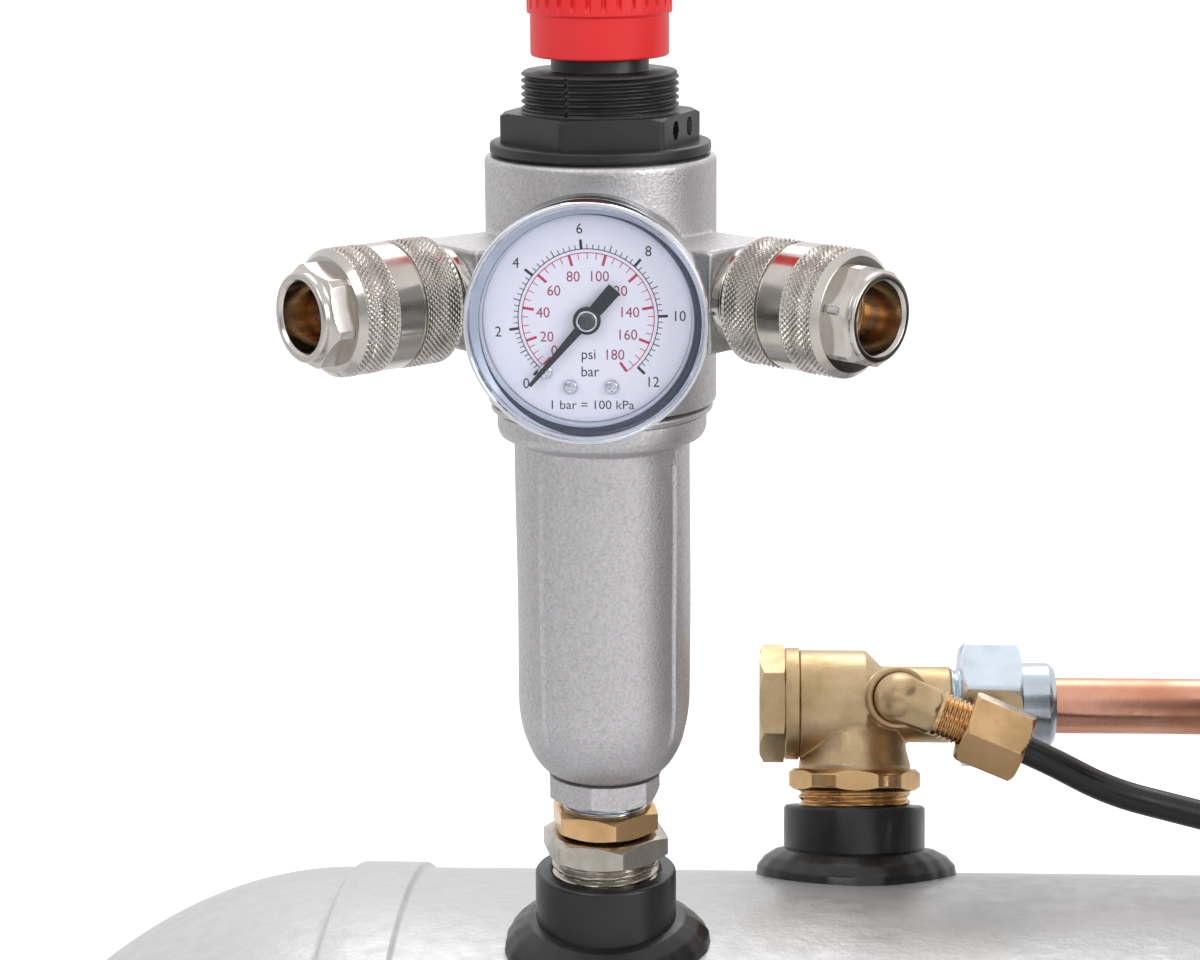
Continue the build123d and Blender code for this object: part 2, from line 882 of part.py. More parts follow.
def make_crankcase():
    """Cast housing with sump, feet, bearing wall and the deck that carries the cylinder."""
    half = crankcase_half_length
    case = along_x(rod(crankcase_radius, -half, half))
    sump = Box(2 * half, 2 * crankcase_sump_half_width, crank_height)
    case += Pos(0, 0, -crank_height / 2) * sump
    case += rounded_box(deck_width, deck_width, 0, deck_height, deck_corner)
    foot_z = -crank_height + crankcase_foot_thickness / 2
    case += Pos(0, 0, foot_z) * Box(
        2 * pad_radius + 10, 2 * crankcase_foot_half_width, crankcase_foot_thickness
    )
    case -= along_x(rod(cavity_radius, -half, back_wall))
    case -= rod(bore_radius + liner_wall + thread_clearance, cavity_radius * 0.5, deck_height)
    case += along_x(tube(shaft_radius + 12, shaft_radius + 4, back_wall - 6, half))
    case -= along_x(rod(shaft_radius + running_clearance, back_wall - 6, half))
    for x in (-1, 1):
        for y in (-1, 1):
            case -= Pos(x * head_bolt_side, y * head_bolt_side, 0) * rod(
                head_bolt_radius, deck_height - 18, deck_height
            )
    return place(pump_frame, case)


def cover_outside():
    """Distance of the cover's outer face from the middle of the cylinder."""
    return crankcase_half_length + cover_thickness


def make_crankcase_cover():
    """Round end cover with a raised middle, six screws and the recess of the sight glass."""
    cover = turned(
        (0, 0),
        (cavity_radius - thread_clearance, 0),
        (cavity_radius - thread_clearance, crankcase_wall / 2),
        (crankcase_radius, crankcase_wall / 2),
        (crankcase_radius, cover_thickness),
        (cavity_radius - 6, cover_thickness + 2),
        (cover_boss_radius + 4, cover_thickness + 2),
        (cover_boss_radius, cover_thickness + cover_boss_height),
        (0, cover_thickness + cover_boss_height),
    )
    cover = Pos(0, 0, -crankcase_wall / 2) * cover
    screw_circle = (cavity_radius + crankcase_radius) / 2
    for index in range(cover_screw_count):
        angle = math.radians(30 + index * 360 / cover_screw_count)
        screw = rod(cover_screw_radius, 0, cover_thickness + 2)
        at = Pos(
            (screw_circle - 2) * math.cos(angle), (screw_circle - 2) * math.sin(angle), 0
        )
        cover += at * screw
    recess = Pos(-sight_glass_drop, 0, 0) * rod(
        sight_glass_radius + thread_clearance, 0, 4 * cover_thickness
    )
    cover = cover - recess
    face = Pos(-crankcase_half_length, 0, 0) * Rot(0, -90, 0) * cover
    return place(pump_frame, face)


def make_oil_sight_glass():
    """Round window for the oil level, low on the end cover."""
    glass = turned(
        (0, crankcase_wall / 2),
        (sight_glass_radius, crankcase_wall / 2),
        (sight_glass_radius, cover_thickness + sight_glass_proud - 1),
        (sight_glass_radius - 1, cover_thickness + sight_glass_proud),
        (sight_glass_radius - 3, cover_thickness + sight_glass_proud),
        (sight_glass_radius - 3, cover_thickness),
        (0, cover_thickness),
    )
    glass = Pos(-sight_glass_drop, 0, -crankcase_wall / 2) * glass
    return place(pump_frame, Pos(-crankcase_half_length, 0, 0) * Rot(0, -90, 0) * glass)


def make_oil_breather():
    """Filler plug with breather, on the shoulder of the crankcase."""
    neck = crankcase_radius
    plug = turned(
        (0, neck + thread_clearance),
        (breather_radius * 0.7, neck + thread_clearance),
        (breather_radius * 0.7, neck + breather_height * 0.3),
        (breather_radius, neck + breather_height * 0.3),
        (breather_radius, neck + breather_height * 0.8),
        (breather_radius - 2, neck + breather_height),
        (0, neck + breather_height),
    )
    plug = Rot(breather_angle, 0, 0) * plug
    return place(pump_frame, plug)


def make_cylinder():
    """Finned cast-iron barrel with its flanges and the spigot that enters the deck."""
    liner_radius = bore_radius + liner_wall
    barrel = rod(liner_radius + 3, deck_height, cylinder_top)
    barrel += rod(liner_radius, deck_height - spigot_length, deck_height)
    barrel += rounded_box(fin_width - 2, fin_width - 2, deck_height, deck_height + cylinder_flange, fin_corner)
    barrel += rounded_box(
        fin_width - 2, fin_width - 2, cylinder_top - cylinder_flange, cylinder_top, fin_corner
    )
    first_fin = (deck_height + cylinder_top - (fin_count - 2) * fin_pitch) / 2
    for index in range(fin_count - 1):
        fin_z = first_fin + index * fin_pitch
        barrel += rounded_box(
            fin_width, fin_width, fin_z - fin_thickness / 2, fin_z + fin_thickness / 2, fin_corner
        )
    barrel -= rod(bore_radius, 0, cylinder_top)
    return place(pump_frame, drill_bolt_holes(barrel, head_bolt_radius + 0.5))


def drill_bolt_holes(part, radius):
    """Drill the four upright head bolt holes through a part."""
    for x in (-1, 1):
        for y in (-1, 1):
            part -= Pos(x * head_bolt_side, y * head_bolt_side, 0) * rod(
                radius, 0, 2 * cylinder_top
            )
    return part


def make_cylinder_head():
    """Valve plate and finned head with its two chambers, outlet boss and inlet boss."""
    plate = rounded_box(fin_width - 2, fin_width - 2, cylinder_top, head_bottom, fin_corner)
    for side in (-1, 1):
        plate -= Pos(0, side * bore_radius * 0.5, 0) * rod(4.0, cylinder_top, head_bottom)
    head = rounded_box(fin_width, fin_width, head_bottom, head_deck, fin_corner)
    pitch = (fin_width - fin_thickness) / (head_fin_count - 1)
    fins = None
    for index in range(head_fin_count):
        fin_y = -fin_width / 2 + fin_thickness / 2 + index * pitch
        fin = Pos(0, fin_y, head_deck + head_fin_height / 2) * Box(
            fin_width, fin_thickness, head_fin_height
        )
        fins = fin if fins is None else fins + fin
    corners = rounded_box(fin_width, fin_width, head_deck, head_deck + head_fin_height, fin_corner)
    head += fins & corners
    centre = Pos(0, 0, head_deck) * Box(20, fin_width * 0.7, 2)
    head += Pos(0, 0, 1) * centre
    boss_z = head_bottom + head_base / 2 + 2
    boss = rod(head_boss_radius, 0, fin_width / 2 + head_boss_length)
    head += Pos(0, head_port_side, boss_z) * Rot(0, -90, 0) * boss
    head += Pos(0, 0, boss_z) * to_front(boss)
    head -= Pos(0, head_port_side, boss_z) * Rot(0, -90, 0) * rod(pipe_radius, 0, 2 * fin_width)
    head -= Pos(0, 0, boss_z) * to_front(rod(filter_neck_radius - 3, 0, 2 * fin_width))
    chamber = Box(fin_width * 0.55, fin_width * 0.28, head_chamber_depth)
    for side in (-1, 1):
        head -= Pos(0, side * fin_width * 0.22, head_bottom + head_chamber_depth / 2) * chamber
    for x in (-1, 1):
        for y in (-1, 1):
            head -= Pos(x * head_bolt_side, y * head_bolt_side, 0) * rod(
                head_bolt_flats * 0.65, head_deck, head_deck + 2 * head_fin_height
            )
    head = drill_bolt_holes(head, head_bolt_radius + 0.5)
    plate = drill_bolt_holes(plate, head_bolt_radius + 0.5)
    return place(pump_frame, group(plate, head))


def make_head_bolts():
    """Four long bolts that clamp head and cylinder to the deck."""
    bolt = rod(head_bolt_radius - thread_clearance, deck_height - 16, head_deck)
    bolt += hexagon(head_bolt_flats, head_deck + thread_clearance, head_deck + head_bolt_head)
    bolt += rod(head_bolt_radius - thread_clearance, head_deck - 1, head_deck + 1)
    bolts = []
    for x in (-1, 1):
        for y in (-1, 1):
            bolts.append(Pos(x * head_bolt_side, y * head_bolt_side, 0) * bolt)
    return place(pump_frame, group(*bolts))


def make_air_filter():
    """Round slotted filter housing that screws into the inlet boss of the head."""
    boss_z = head_bottom + head_base / 2 + 2
    face = fin_width / 2 + head_boss_length
    start = face + filter_neck_length * 0.3
    end = start + filter_length
    housing = turned(
        (0, face + thread_clearance),
        (filter_neck_radius, face + thread_clearance),
        (filter_neck_radius, start),
        (filter_radius - 3, start),
        (filter_radius, start + 3),
        (filter_radius, end - 4),
        (filter_radius - 4, end),
        (0, end),
    )
    housing -= rod(filter_radius - filter_wall - 3, start + filter_wall, end - filter_wall - 2)
    slot = Pos(filter_radius, 0, (start + end) / 2) * Box(
        2 * filter_wall + 8, 3.4, filter_length * 0.5
    )
    for index in range(filter_slot_count):
        housing -= Rot(0, 0, index * 360 / filter_slot_count) * slot
    housing -= rod(filter_neck_radius - 4, face - 1, start + filter_wall + 1)
    return place(pump_frame, Pos(0, 0, boss_z) * to_front(housing))


def make_piston():
    """Piston with ring grooves, and its wrist pin as a second solid."""
    radius = bore_radius - piston_clearance
    pin_z = crank_radius + rod_length
    crown = pin_z + piston_crown_height
    skirt = pin_z - piston_skirt
    outline = [(0, crown), (radius, crown)]
    for index in range(3):
        ring_top = crown - 4 - index * 2 * ring_width
        outline += [
            (radius, ring_top),
            (radius - ring_depth, ring_top),
            (radius - ring_depth, ring_top - ring_width),
            (radius, ring_top - ring_width),
        ]
    outline += [
        (radius, skirt),
        (radius - piston_wall, skirt),
        (radius - piston_wall, crown - piston_wall),
        (0, crown - piston_wall),
    ]
    piston = turned(*outline)
    boss = Pos(0, 0, pin_z) * along_x(rod(wrist_pin_radius + 4, -radius, radius))
    boss &= rod(radius - piston_wall / 2, skirt, crown)
    gap = Box(rod_thickness + 2, 4 * wrist_pin_radius, 4 * wrist_pin_radius)
    piston += boss - Pos(0, 0, pin_z) * gap
    pin = Pos(0, 0, pin_z) * along_x(rod(wrist_pin_radius, -radius + 2, radius - 2))
    piston -= Pos(0, 0, pin_z) * along_x(rod(wrist_pin_radius, -radius - 1, radius + 1))
    return place(pump_frame, group(piston, pin))


def make_connecting_rod():
    """Connecting rod, with the crank pin in its big end as a second solid."""
    pin_z = crank_radius + rod_length
    shank_end = pin_z - rod_small_radius * 0.7
    shank_start = crank_radius + rod_big_radius * 0.7
    half = rod_thickness / 2
    rod_body = Pos(0, 0, crank_radius) * along_x(rod(rod_big_radius, -half, half))
    rod_body += Pos(0, 0, pin_z) * along_x(rod(rod_small_radius, -half, half))
    shank_z = (shank_start + shank_end) / 2
    rod_body += Pos(0, 0, shank_z) * Box(
        rod_shank_thickness, rod_shank_width, shank_end - shank_start
    )
    rod_body -= Pos(0, 0, crank_radius) * along_x(rod(crank_pin_radius, -2 * half, 2 * half))
    rod_body -= Pos(0, 0, pin_z) * along_x(
        rod(wrist_pin_radius + thread_clearance, -2 * half, 2 * half)
    )
    pin = Pos(0, 0, crank_radius) * along_x(rod(crank_pin_radius, -half, web_start() - crank_pin_gap))
    return place(pump_frame, group(rod_body, pin))


def web_start():
    """Distance of the crank web's face from the middle of the cylinder."""
    return rod_thickness / 2 + 2.0


def make_crankshaft():
    """Shaft with the overhung crank web and counterweight, and the rotor core on it."""
    start = web_start()
    web_end = start + crank_web_thickness
    counterweight = rod(crank_web_radius, start, web_end)
    upper = Pos(-crank_web_radius - crank_radius * 0.1, 0, (start + web_end) / 2) * Box(
        2 * crank_web_radius, 4 * crank_web_radius, 2 * crank_web_thickness
    )
    counterweight -= upper
    cheek = rod(crank_cheek_half_width, start, web_end)
    cheek += Pos(-crank_radius, 0, 0) * rod(crank_cheek_half_width * 0.8, start, web_end)
    cheek += Pos(-crank_radius / 2, 0, (start + web_end) / 2) * Box(
        crank_radius, crank_cheek_half_width * 1.6, crank_web_thickness
    )
    web = counterweight + cheek
    shaft_end = crankcase_half_length + motor_length + fan_gap + fan_width
    shaft = web + rod(shaft_radius, web_end - 1, shaft_end)
    core_start = crankcase_half_length + stator_start
    core = tube(
        stator_bore_radius - air_gap, shaft_radius, core_start, core_start + stator_length
    )
    return place(pump_frame, group(along_x(shaft), along_x(core)))


# Motor
def make_motor_housing():
    """Finned housing with its foot and end bell, and the stator core as a second solid."""
    start = crankcase_half_length
    end = start + motor_length
    shell = rod(motor_radius, start, end)
    fin_end = end - 4
    fin = Pos(motor_radius + motor_fin_height / 2 - 1, 0, (start + 6 + fin_end) / 2) * Box(
        motor_fin_height + 2, motor_fin_thickness, fin_end - start - 6
    )
    for index in range(motor_fin_count):
        shell += Rot(0, 0, (index + 0.5) * 360 / motor_fin_count) * fin
    shell = along_x(shell)
    foot_x = end - motor_foot_from_end
    foot_z = -crank_height + crankcase_foot_thickness / 2
    foot = Box(motor_foot_length, 2 * crankcase_foot_half_width, crankcase_foot_thickness)
    below = Box(motor_foot_length + 8, 2 * crankcase_foot_half_width, motor_fin_height + 4)
    shell -= Pos(foot_x, 0, -crank_height - (motor_fin_height + 4) / 2) * below
    shell += Pos(foot_x, 0, foot_z) * foot
    pedestal = Box(motor_foot_length, motor_radius, crank_height - 4)
    shell += Pos(foot_x, 0, -crank_height / 2 - 2) * pedestal
    inner = motor_radius - motor_wall
    shell -= along_x(rod(inner, start, end - motor_bell))
    shell -= along_x(rod(shaft_radius + running_clearance, end - 2 * motor_bell, end))
    core_start = start + stator_start
    core = along_x(tube(inner, stator_bore_radius, core_start, core_start + stator_length))
    return place(pump_frame, group(shell, core))


def make_fan():
    """Cooling fan with twisted blades, on the free end of the shaft."""
    start = crankcase_half_length + motor_length + fan_gap
    hub = tube(fan_hub_radius, shaft_radius, start, start + fan_width)
    blade_length = fan_radius - fan_hub_radius + 2
    chord = fan_width / math.sin(math.radians(90 - fan_blade_pitch)) * 0.8
    blade = Rot(fan_blade_pitch, 0, 0) * Box(blade_length, fan_blade_thickness, chord)
    blade = Pos(fan_hub_radius - 2 + blade_length / 2, 0, start + fan_width / 2) * blade
    fan = hub
    for index in range(fan_blade_count):
        fan += Rot(0, 0, index * 360 / fan_blade_count) * blade
    fan = fan & rod(fan_radius, start, start + fan_width)
    fan -= rod(shaft_radius, start - 1, start + fan_width + 1)
    return place(pump_frame, along_x(fan))


def make_fan_cowl():
    """Plastic cowl over the fan, with a round grille of rings and spokes in its end."""
    start = crankcase_half_length + motor_length
    end = start + cowl_length
    cowl = turned(
        (motor_radius * 0.9, start + thread_clearance),
        (cowl_radius, start + thread_clearance),
        (cowl_radius, end - 7),
        (cowl_radius - 2, end - 2),
        (cowl_radius - 6, end),
        (0, end),
        (0, end - cowl_wall),
        (cowl_radius - 6.5, end - cowl_wall),
        (cowl_radius - cowl_wall - 1.5, end - 5),
        (cowl_radius - cowl_wall, end - 8),
        (cowl_radius - cowl_wall, start + cowl_wall),
        (motor_radius * 0.9, start + cowl_wall),
    )
    open_radius = cowl_radius - 9
    hub_radius = cowl_radius * 0.2
    pitch = (open_radius - hub_radius) / cowl_ring_count
    vents = None
    for index in range(cowl_ring_count):
        ring_inner = hub_radius + index * pitch
        ring = tube(ring_inner + pitch - cowl_bar, ring_inner, end - 2 * cowl_wall, end + 1)
        vents = ring if vents is None else vents + ring
    for index in range(cowl_spoke_count):
        angle = index * 360 / cowl_spoke_count
        spoke = Pos(open_radius / 2, 0, end) * Box(open_radius + 4, cowl_bar, 6 * cowl_wall)
        vents -= Rot(0, 0, angle) * spoke
    return place(pump_frame, along_x(cowl - vents))


def make_terminal_box():
    """Box for the terminals and capacitor, saddled on the motor fins."""
    start = crankcase_half_length + motor_length - terminal_from_end
    top = motor_radius + motor_fin_height + terminal_height
    box = rounded_box(terminal_length, terminal_width, motor_radius * 0.5, top, terminal_corner)
    box = fillet(box.faces().sort_by(Axis.Z)[-1].edges(), 4)
    box = Pos(start, 0, 0) * box
    seat = motor_radius + motor_fin_height + thread_clearance
    box -= along_x(rod(seat, 0, start + 2 * terminal_length))
    return place(pump_frame, box)


# Check valve. These parts are made about the tilted axis of its socket.
barrel_left = -check_barrel_left
barrel_right = check_barrel_right
outlet_end = barrel_right + check_outlet_length
cap_face = barrel_left - check_cap_flange_length
seat_x = barrel_left + check_poppet_stroke + check_poppet_length + check_poppet_stem
check_hex_bottom = check_socket_height + check_hex_gap
check_hex_top = check_hex_bottom + check_hex_height


def on_check_axis(part):
    """Lay a part that stands along Z along the barrel of the check valve."""
    return Pos(0, 0, check_axis_height) * along_x(part)


def make_check_valve_body():
    """Forged brass tee: threaded branch with hexagon, barrel, outlet and unloader boss."""
    branch = rod(check_thread_radius, 1, check_hex_bottom)
    hexagonal = hexagon(check_hex_flats, check_hex_bottom, check_hex_top)
    branch += hexagonal & rod(check_hex_turned_radius, 0, check_axis_height)
    branch += turned(
        (0, check_hex_top),
        (check_neck_radius + 1, check_hex_top),
        (check_neck_radius, check_hex_top + 2.5),
        (check_neck_radius - 1, check_axis_height - 5),
        (0, check_axis_height - 5),
    )
    shoulder = 1.7
    barrel = turned(
        (0, barrel_left),
        (check_barrel_radius, barrel_left),
        (check_barrel_radius, barrel_right - shoulder),
        (check_barrel_radius - shoulder, barrel_right),
        (check_outlet_radius, barrel_right + shoulder),
        (check_outlet_radius, outlet_end),
        (0, outlet_end),
    )
    body = branch + on_check_axis(barrel)
    boss = rod(unloader_boss_radius, 0, unloader_reach - unloader_stub)
    body += Pos(unloader_place, 0, check_axis_height + unloader_rise) * to_front(boss)
    body -= on_check_axis(rod(check_chamber_radius, barrel_left - 1, seat_x))
    body -= on_check_axis(rod(check_inlet_radius, seat_x - 1, outlet_end + 1))
    body -= rod(check_chamber_radius - 2, 0, check_axis_height)
    bore = rod(unloader_arm_radius * 0.5, 3, unloader_reach)
    body -= Pos(unloader_place, 0, check_axis_height + unloader_rise) * to_front(bore)
    return place(check_frame, body)


def make_check_valve_cap():
    """Hexagonal screw cap at the end of the barrel, with the guide of the poppet."""
    cap = rod(check_cap_flange_radius, cap_face, barrel_left)
    cap += hexagon(check_cap_hex_flats, cap_face - check_cap_hex_length, cap_face)
    spigot = rod(check_chamber_radius - thread_clearance, barrel_left, barrel_left + 2.5)
    cap += spigot
    cap -= rod(check_poppet_stem + running_clearance, cap_face - 1, barrel_left + 3)
    return place(check_frame, on_check_axis(cap))


def make_check_valve_poppet():
    """Rubber-faced poppet that closes the inlet of the check valve."""
    face = seat_x - thread_clearance
    back = face - check_poppet_length
    poppet = turned(
        (0, back - check_poppet_stroke - 3),
        (check_poppet_stem, back - check_poppet_stroke - 3),
        (check_poppet_stem, back),
        (check_chamber_radius - 1.5, back),
        (check_chamber_radius - 1.5, face - 1),
        (check_chamber_radius - 2.5, face),
        (0, face),
    )
    return place(check_frame, on_check_axis(poppet))


def make_pipe_nuts():
    """Two steel union nuts, one on the check valve and one on the head."""
    hex_start = outlet_end + 2.0
    collar_start = hex_start + nut_hex_length
    collar_end = collar_start + nut_collar_length
    nut = hexagon(nut_hex_flats, hex_start, collar_start, pipe_nut_turn)
    nut += turned(
        (0, collar_start),
        (nut_collar_radius, collar_start),
        (nut_collar_radius, collar_end - 1),
        (nut_collar_radius - 1, collar_end),
        (0, collar_end),
    )
    thread = check_outlet_radius - 0.4
    neck = rod(thread, outlet_end, hex_start + 1)
    lower = nut + neck - rod(pipe_radius + thread_clearance, outlet_end - 1, collar_end + 1)
    boss_face = fin_width / 2 + head_boss_length
    upper_nut = Pos(0, 0, boss_face - outlet_end) * lower
    boss_z = head_bottom + head_base / 2 + 2
    upper = Pos(0, head_port_side, boss_z) * Rot(0, -90, 0) * upper_nut
    return group(place(check_frame, on_check_axis(lower)), place(pump_frame, upper))


def pipe_route():
    """Corner points of the delivery pipe, from the check valve up to the head."""
    start = check_frame.from_local_coords(Vector(outlet_end + 0.5, 0, check_axis_height))
    boss_z = head_bottom + head_base / 2 + 2
    face_x = -(fin_width / 2 + head_boss_length + 0.5)
    finish = pump_frame.from_local_coords(Vector(face_x, head_port_side, boss_z))
    turn_x = start.X + pipe_first_run
    low = Vector(turn_x, start.Y, start.Z)
    high = Vector(turn_x, finish.Y, finish.Z)
    return [start, low, high, finish]


def make_delivery_pipe():
    """Bent copper pipe between the two nuts."""
    path = FilletPolyline(*pipe_route(), radius=pipe_bend_radius)
    section_frame = Plane(origin=path @ 0, z_dir=path % 0)
    outer = sweep(section_frame * Circle(pipe_radius), path)
    inner = sweep(section_frame * Circle(pipe_radius - pipe_wall), path)
    return outer - inner


def unloader_frame():
    """Frame at the start of the elbow's arm, with Z along the arm."""
    slope = math.radians(unloader_slope)
    corner = Vector(unloader_place, -unloader_reach, check_axis_height + unloader_rise)
    arm = Vector(math.cos(slope), 0, -math.sin(slope))
    origin = check_frame.from_local_coords(corner)
    ahead = check_frame.from_local_coords(corner + arm)
    beside = check_frame.from_local_coords(corner + Vector(0, 1, 0))
    return Plane(origin=origin, x_dir=beside - origin, z_dir=ahead - origin)


def make_unloader_fittings():
    """Brass elbow and nut on the check valve, and the small port under the switch."""
    stub = rod(unloader_arm_radius, unloader_reach - unloader_stub, unloader_reach)
    stub = Pos(unloader_place, 0, check_axis_height + unloader_rise) * to_front(stub)
    stub = place(check_frame, stub)
    frame = unloader_frame()
    arm = rod(unloader_arm_radius, 0, unloader_arm_length)
    corner = place(frame, Sphere(unloader_arm_radius * 1.1))
    elbow = stub + corner + place(frame, arm)
    elbow -= place(frame, rod(unloader_tube_radius + thread_clearance, 4, unloader_arm_length + 1))
    nut_end = unloader_arm_length + unloader_nut_length
    nut = hexagon(unloader_nut_flats, unloader_arm_length, nut_end, unloader_nut_turn)
    nut -= rod(unloader_tube_radius + thread_clearance, unloader_arm_length - 1, nut_end + 1)
    nut = place(frame, nut)
    port_top = switch_bottom()
    port = hexagon(unloader_port_flats, port_top - unloader_port_length, port_top)
    port -= rod(
        unloader_tube_radius + thread_clearance, port_top - 2 * unloader_port_length, port_top - 3
    )
    port = place(switch_frame, Pos(-unloader_port_side, unloader_port_forward, 0) * port)
    return group(elbow, nut, port)


def switch_bottom():
    """Height of the switch base above the tank wall at the switch."""
    return small_socket_height + manifold_neck + manifold_height + manifold_top_neck


def unloader_route():
    """Corner points of the unloader tube: down along the tank, then up into the switch."""
    frame = unloader_frame()
    start = frame.from_local_coords(Vector(0, 0, unloader_arm_length - 6))
    port = switch_frame.from_local_coords(
        Vector(-unloader_port_side, unloader_port_forward, switch_bottom() - unloader_port_length)
    )
    leave = frame.from_local_coords(Vector(0, 0, unloader_arm_length + unloader_nut_length + 4))
    sag = Vector(leave.X + 14, leave.Y - 2, leave.Z - 7)
    low = Vector(sag.X + 32, sag.Y - 10, sag.Z - 5)
    turn = Vector(port.X + 3, port.Y + 22, port.Z - 16)
    below = Vector(port.X, port.Y, port.Z - 10)
    finish = Vector(port.X, port.Y, port.Z + 9)
    return [start, leave, sag, low, turn, below, finish]


def tube_radii(points):
    """Bend radius at each inner point: 0.45 of the shorter run over the tangent of half the turn."""
    radii = []
    for before, here, after in zip(points, points[1:], points[2:]):
        first = here - before
        second = after - here
        half_turn = math.radians(first.get_angle(second)) / 2
        radii.append(0.45 * min(first.length, second.length) / math.tan(half_turn))
    return radii


def make_unloader_tube():
    """Plastic tube from the check valve to the pressure switch."""
    points = unloader_route()
    radii = tube_radii(points)
    print("unloader tube bend radii", [round(radius, 1) for radius in radii])
    path = FilletPolyline(*points, radius=radii)
    section_frame = Plane(origin=path @ 0, z_dir=path % 0)
    tube_solid = sweep(section_frame * Circle(unloader_tube_radius), path)
    expected = math.pi * unloader_tube_radius ** 2 * path.length
    print("unloader tube volume over section times length", round(tube_solid.volume / expected, 4))
    return tube_solid


# Pressure switch, manifold, safety valve and tank gauge
def make_manifold():
    """Square block between the tank socket and the switch, with its two threaded necks."""
    bottom = small_socket_height + manifold_neck
    top = bottom + manifold_height
    block = rounded_box(manifold_size, manifold_size, bottom, top, 2)
    block = chamfer(block.faces().sort_by(Axis.Z)[-1].edges(), 1)
    block += rod(manifold_neck_radius, 2, bottom)
    block += rod(manifold_neck_radius, top, top + manifold_top_neck)
    block -= rod(manifold_neck_radius - 3, 0, top + manifold_top_neck)
    middle = (bottom + top) / 2
    block -= Pos(0, 0, middle) * to_front(rod(gauge_stem_radius, 0, manifold_size))
    block -= Pos(0, 0, middle) * Rot(0, -90, 0) * rod(gauge_stem_radius, 0, manifold_size)
    return place(switch_frame, block)


def make_pressure_switch_base():
    """Cast base of the pressure switch with its two cable glands."""
    bottom = switch_bottom()
    top = bottom + switch_base_height
    base = rounded_box(switch_length, switch_width, bottom, top, switch_corner)
    gland = turned(
        (0, 0),
        (gland_radius, 0),
        (gland_radius, gland_length * 0.45),
        (gland_radius - 1.5, gland_length * 0.5),
        (gland_radius - 2, gland_length),
        (gland_radius - 4, gland_length),
        (gland_radius - 4, 2),
        (0, 2),
    )
    for side in (-1, 1):
        at = Pos(side * switch_length / 4, -switch_width / 2, (bottom + top) / 2)
        base += at * to_front(gland)
    return place(switch_frame, base)


def make_pressure_switch_cover():
    """Moulded cover of the pressure switch, open below, with the hole of its knob."""
    bottom = switch_bottom() + switch_base_height
    top = bottom + switch_cover_height
    cover = rounded_box(
        switch_length - 1, switch_width - 1, bottom, top, switch_corner
    )
    cover = fillet(cover.faces().sort_by(Axis.Z)[-1].edges(), 5)
    cover -= rounded_box(
        switch_length - 1 - 2 * switch_wall,
        switch_width - 1 - 2 * switch_wall,
        bottom,
        top - switch_wall,
        switch_corner - switch_wall,
    )
    cover -= rod(switch_stem_radius + running_clearance, bottom, top + 1)
    return place(switch_frame, cover)


def make_pressure_switch_knob():
    """Push and pull knob of the switch with its stem."""
    top = switch_bottom() + switch_base_height + switch_cover_height
    rest = top + knob_gap
    knob = turned(
        (0, top - 30),
        (switch_stem_radius, top - 30),
        (switch_stem_radius, rest),
        (switch_knob_radius - 1, rest),
        (switch_knob_radius, rest + 2),
        (switch_knob_radius * 0.8, rest + switch_knob_height * 0.55),
        (switch_knob_radius, rest + switch_knob_height * 0.85),
        (switch_knob_radius - 2, rest + switch_knob_height),
        (0, rest + switch_knob_height),
    )
    return place(switch_frame, knob)


def manifold_middle():
    """Height of the middle of the manifold block above the tank wall."""
    return small_socket_height + manifold_neck + manifold_height / 2


def make_safety_valve():
    """Body of the safety valve on the side of the manifold."""
    face = manifold_size / 2
    body = rod(gauge_stem_radius - thread_clearance, face - 8, face)
    body += hexagon(safety_flats, face, face + 6)
    body += turned(
        (0, face + 6),
        (safety_body_radius, face + 6),
        (safety_body_radius, face + safety_body_length - 2),
        (safety_body_radius - 2, face + safety_body_length),
        (0, face + safety_body_length),
    )
    body -= rod(safety_stem_radius + running_clearance, face + 4, face + safety_body_length + 1)
    body = Pos(0, 0, manifold_middle()) * Rot(0, -90, 0) * body
    return place(switch_frame, body)


def make_safety_valve_ring():
    """Stem of the safety valve with its pull ring."""
    face = manifold_size / 2
    end = face + safety_body_length
    stem = rod(safety_stem_radius, face + 4.3, end + 3)
    ring_centre = end + 3 + safety_ring_radius - safety_ring_wire
    ring = Pos(0, 0, ring_centre) * Rot(90, 0, 0) * Torus(
        safety_ring_radius - safety_ring_wire, safety_ring_wire
    )
    whole = Pos(0, 0, manifold_middle()) * Rot(0, -90, 0) * (stem + ring)
    return place(switch_frame, whole)


def make_tank_gauge():
    """Pressure gauge of the tank on the front of the manifold."""
    face = manifold_size / 2
    back = face + tank_gauge_stem
    front = back + tank_gauge_depth
    gauge = rod(gauge_stem_radius - thread_clearance, face - 8, back)
    gauge += hexagon(gauge_hex_flats, face + 2, face + 8)
    gauge += turned(
        (0, back),
        (tank_gauge_radius - 3, back),
        (tank_gauge_radius - 1.2, back + 2),
        (tank_gauge_radius - 1.2, front - gauge_bezel_depth),
        (tank_gauge_radius, front - gauge_bezel_depth + 1),
        (tank_gauge_radius, front - 1),
        (tank_gauge_radius - 1, front),
        (tank_gauge_radius - gauge_bezel_width, front),
        (tank_gauge_radius - gauge_bezel_width, front - gauge_bezel_depth + 1),
        (0, front - gauge_bezel_depth + 1),
    )
    gauge = Pos(0, 0, manifold_middle()) * to_front(gauge)
    return place(switch_frame, gauge)


# Drain
def make_drain_valve():
    """Drain cock body in the lowest socket."""
    bottom = small_socket_height * 0.8
    hex_top = bottom + drain_hex_height
    body = rod(drain_thread_radius, 1, bottom)
    body += hexagon(drain_hex_flats, bottom, hex_top)
    body += rod(drain_nose_radius, hex_top, hex_top + drain_nose_length)
    body -= rod(2.0 + running_clearance, 0, hex_top + drain_nose_length)
    return place(drain_frame, body)


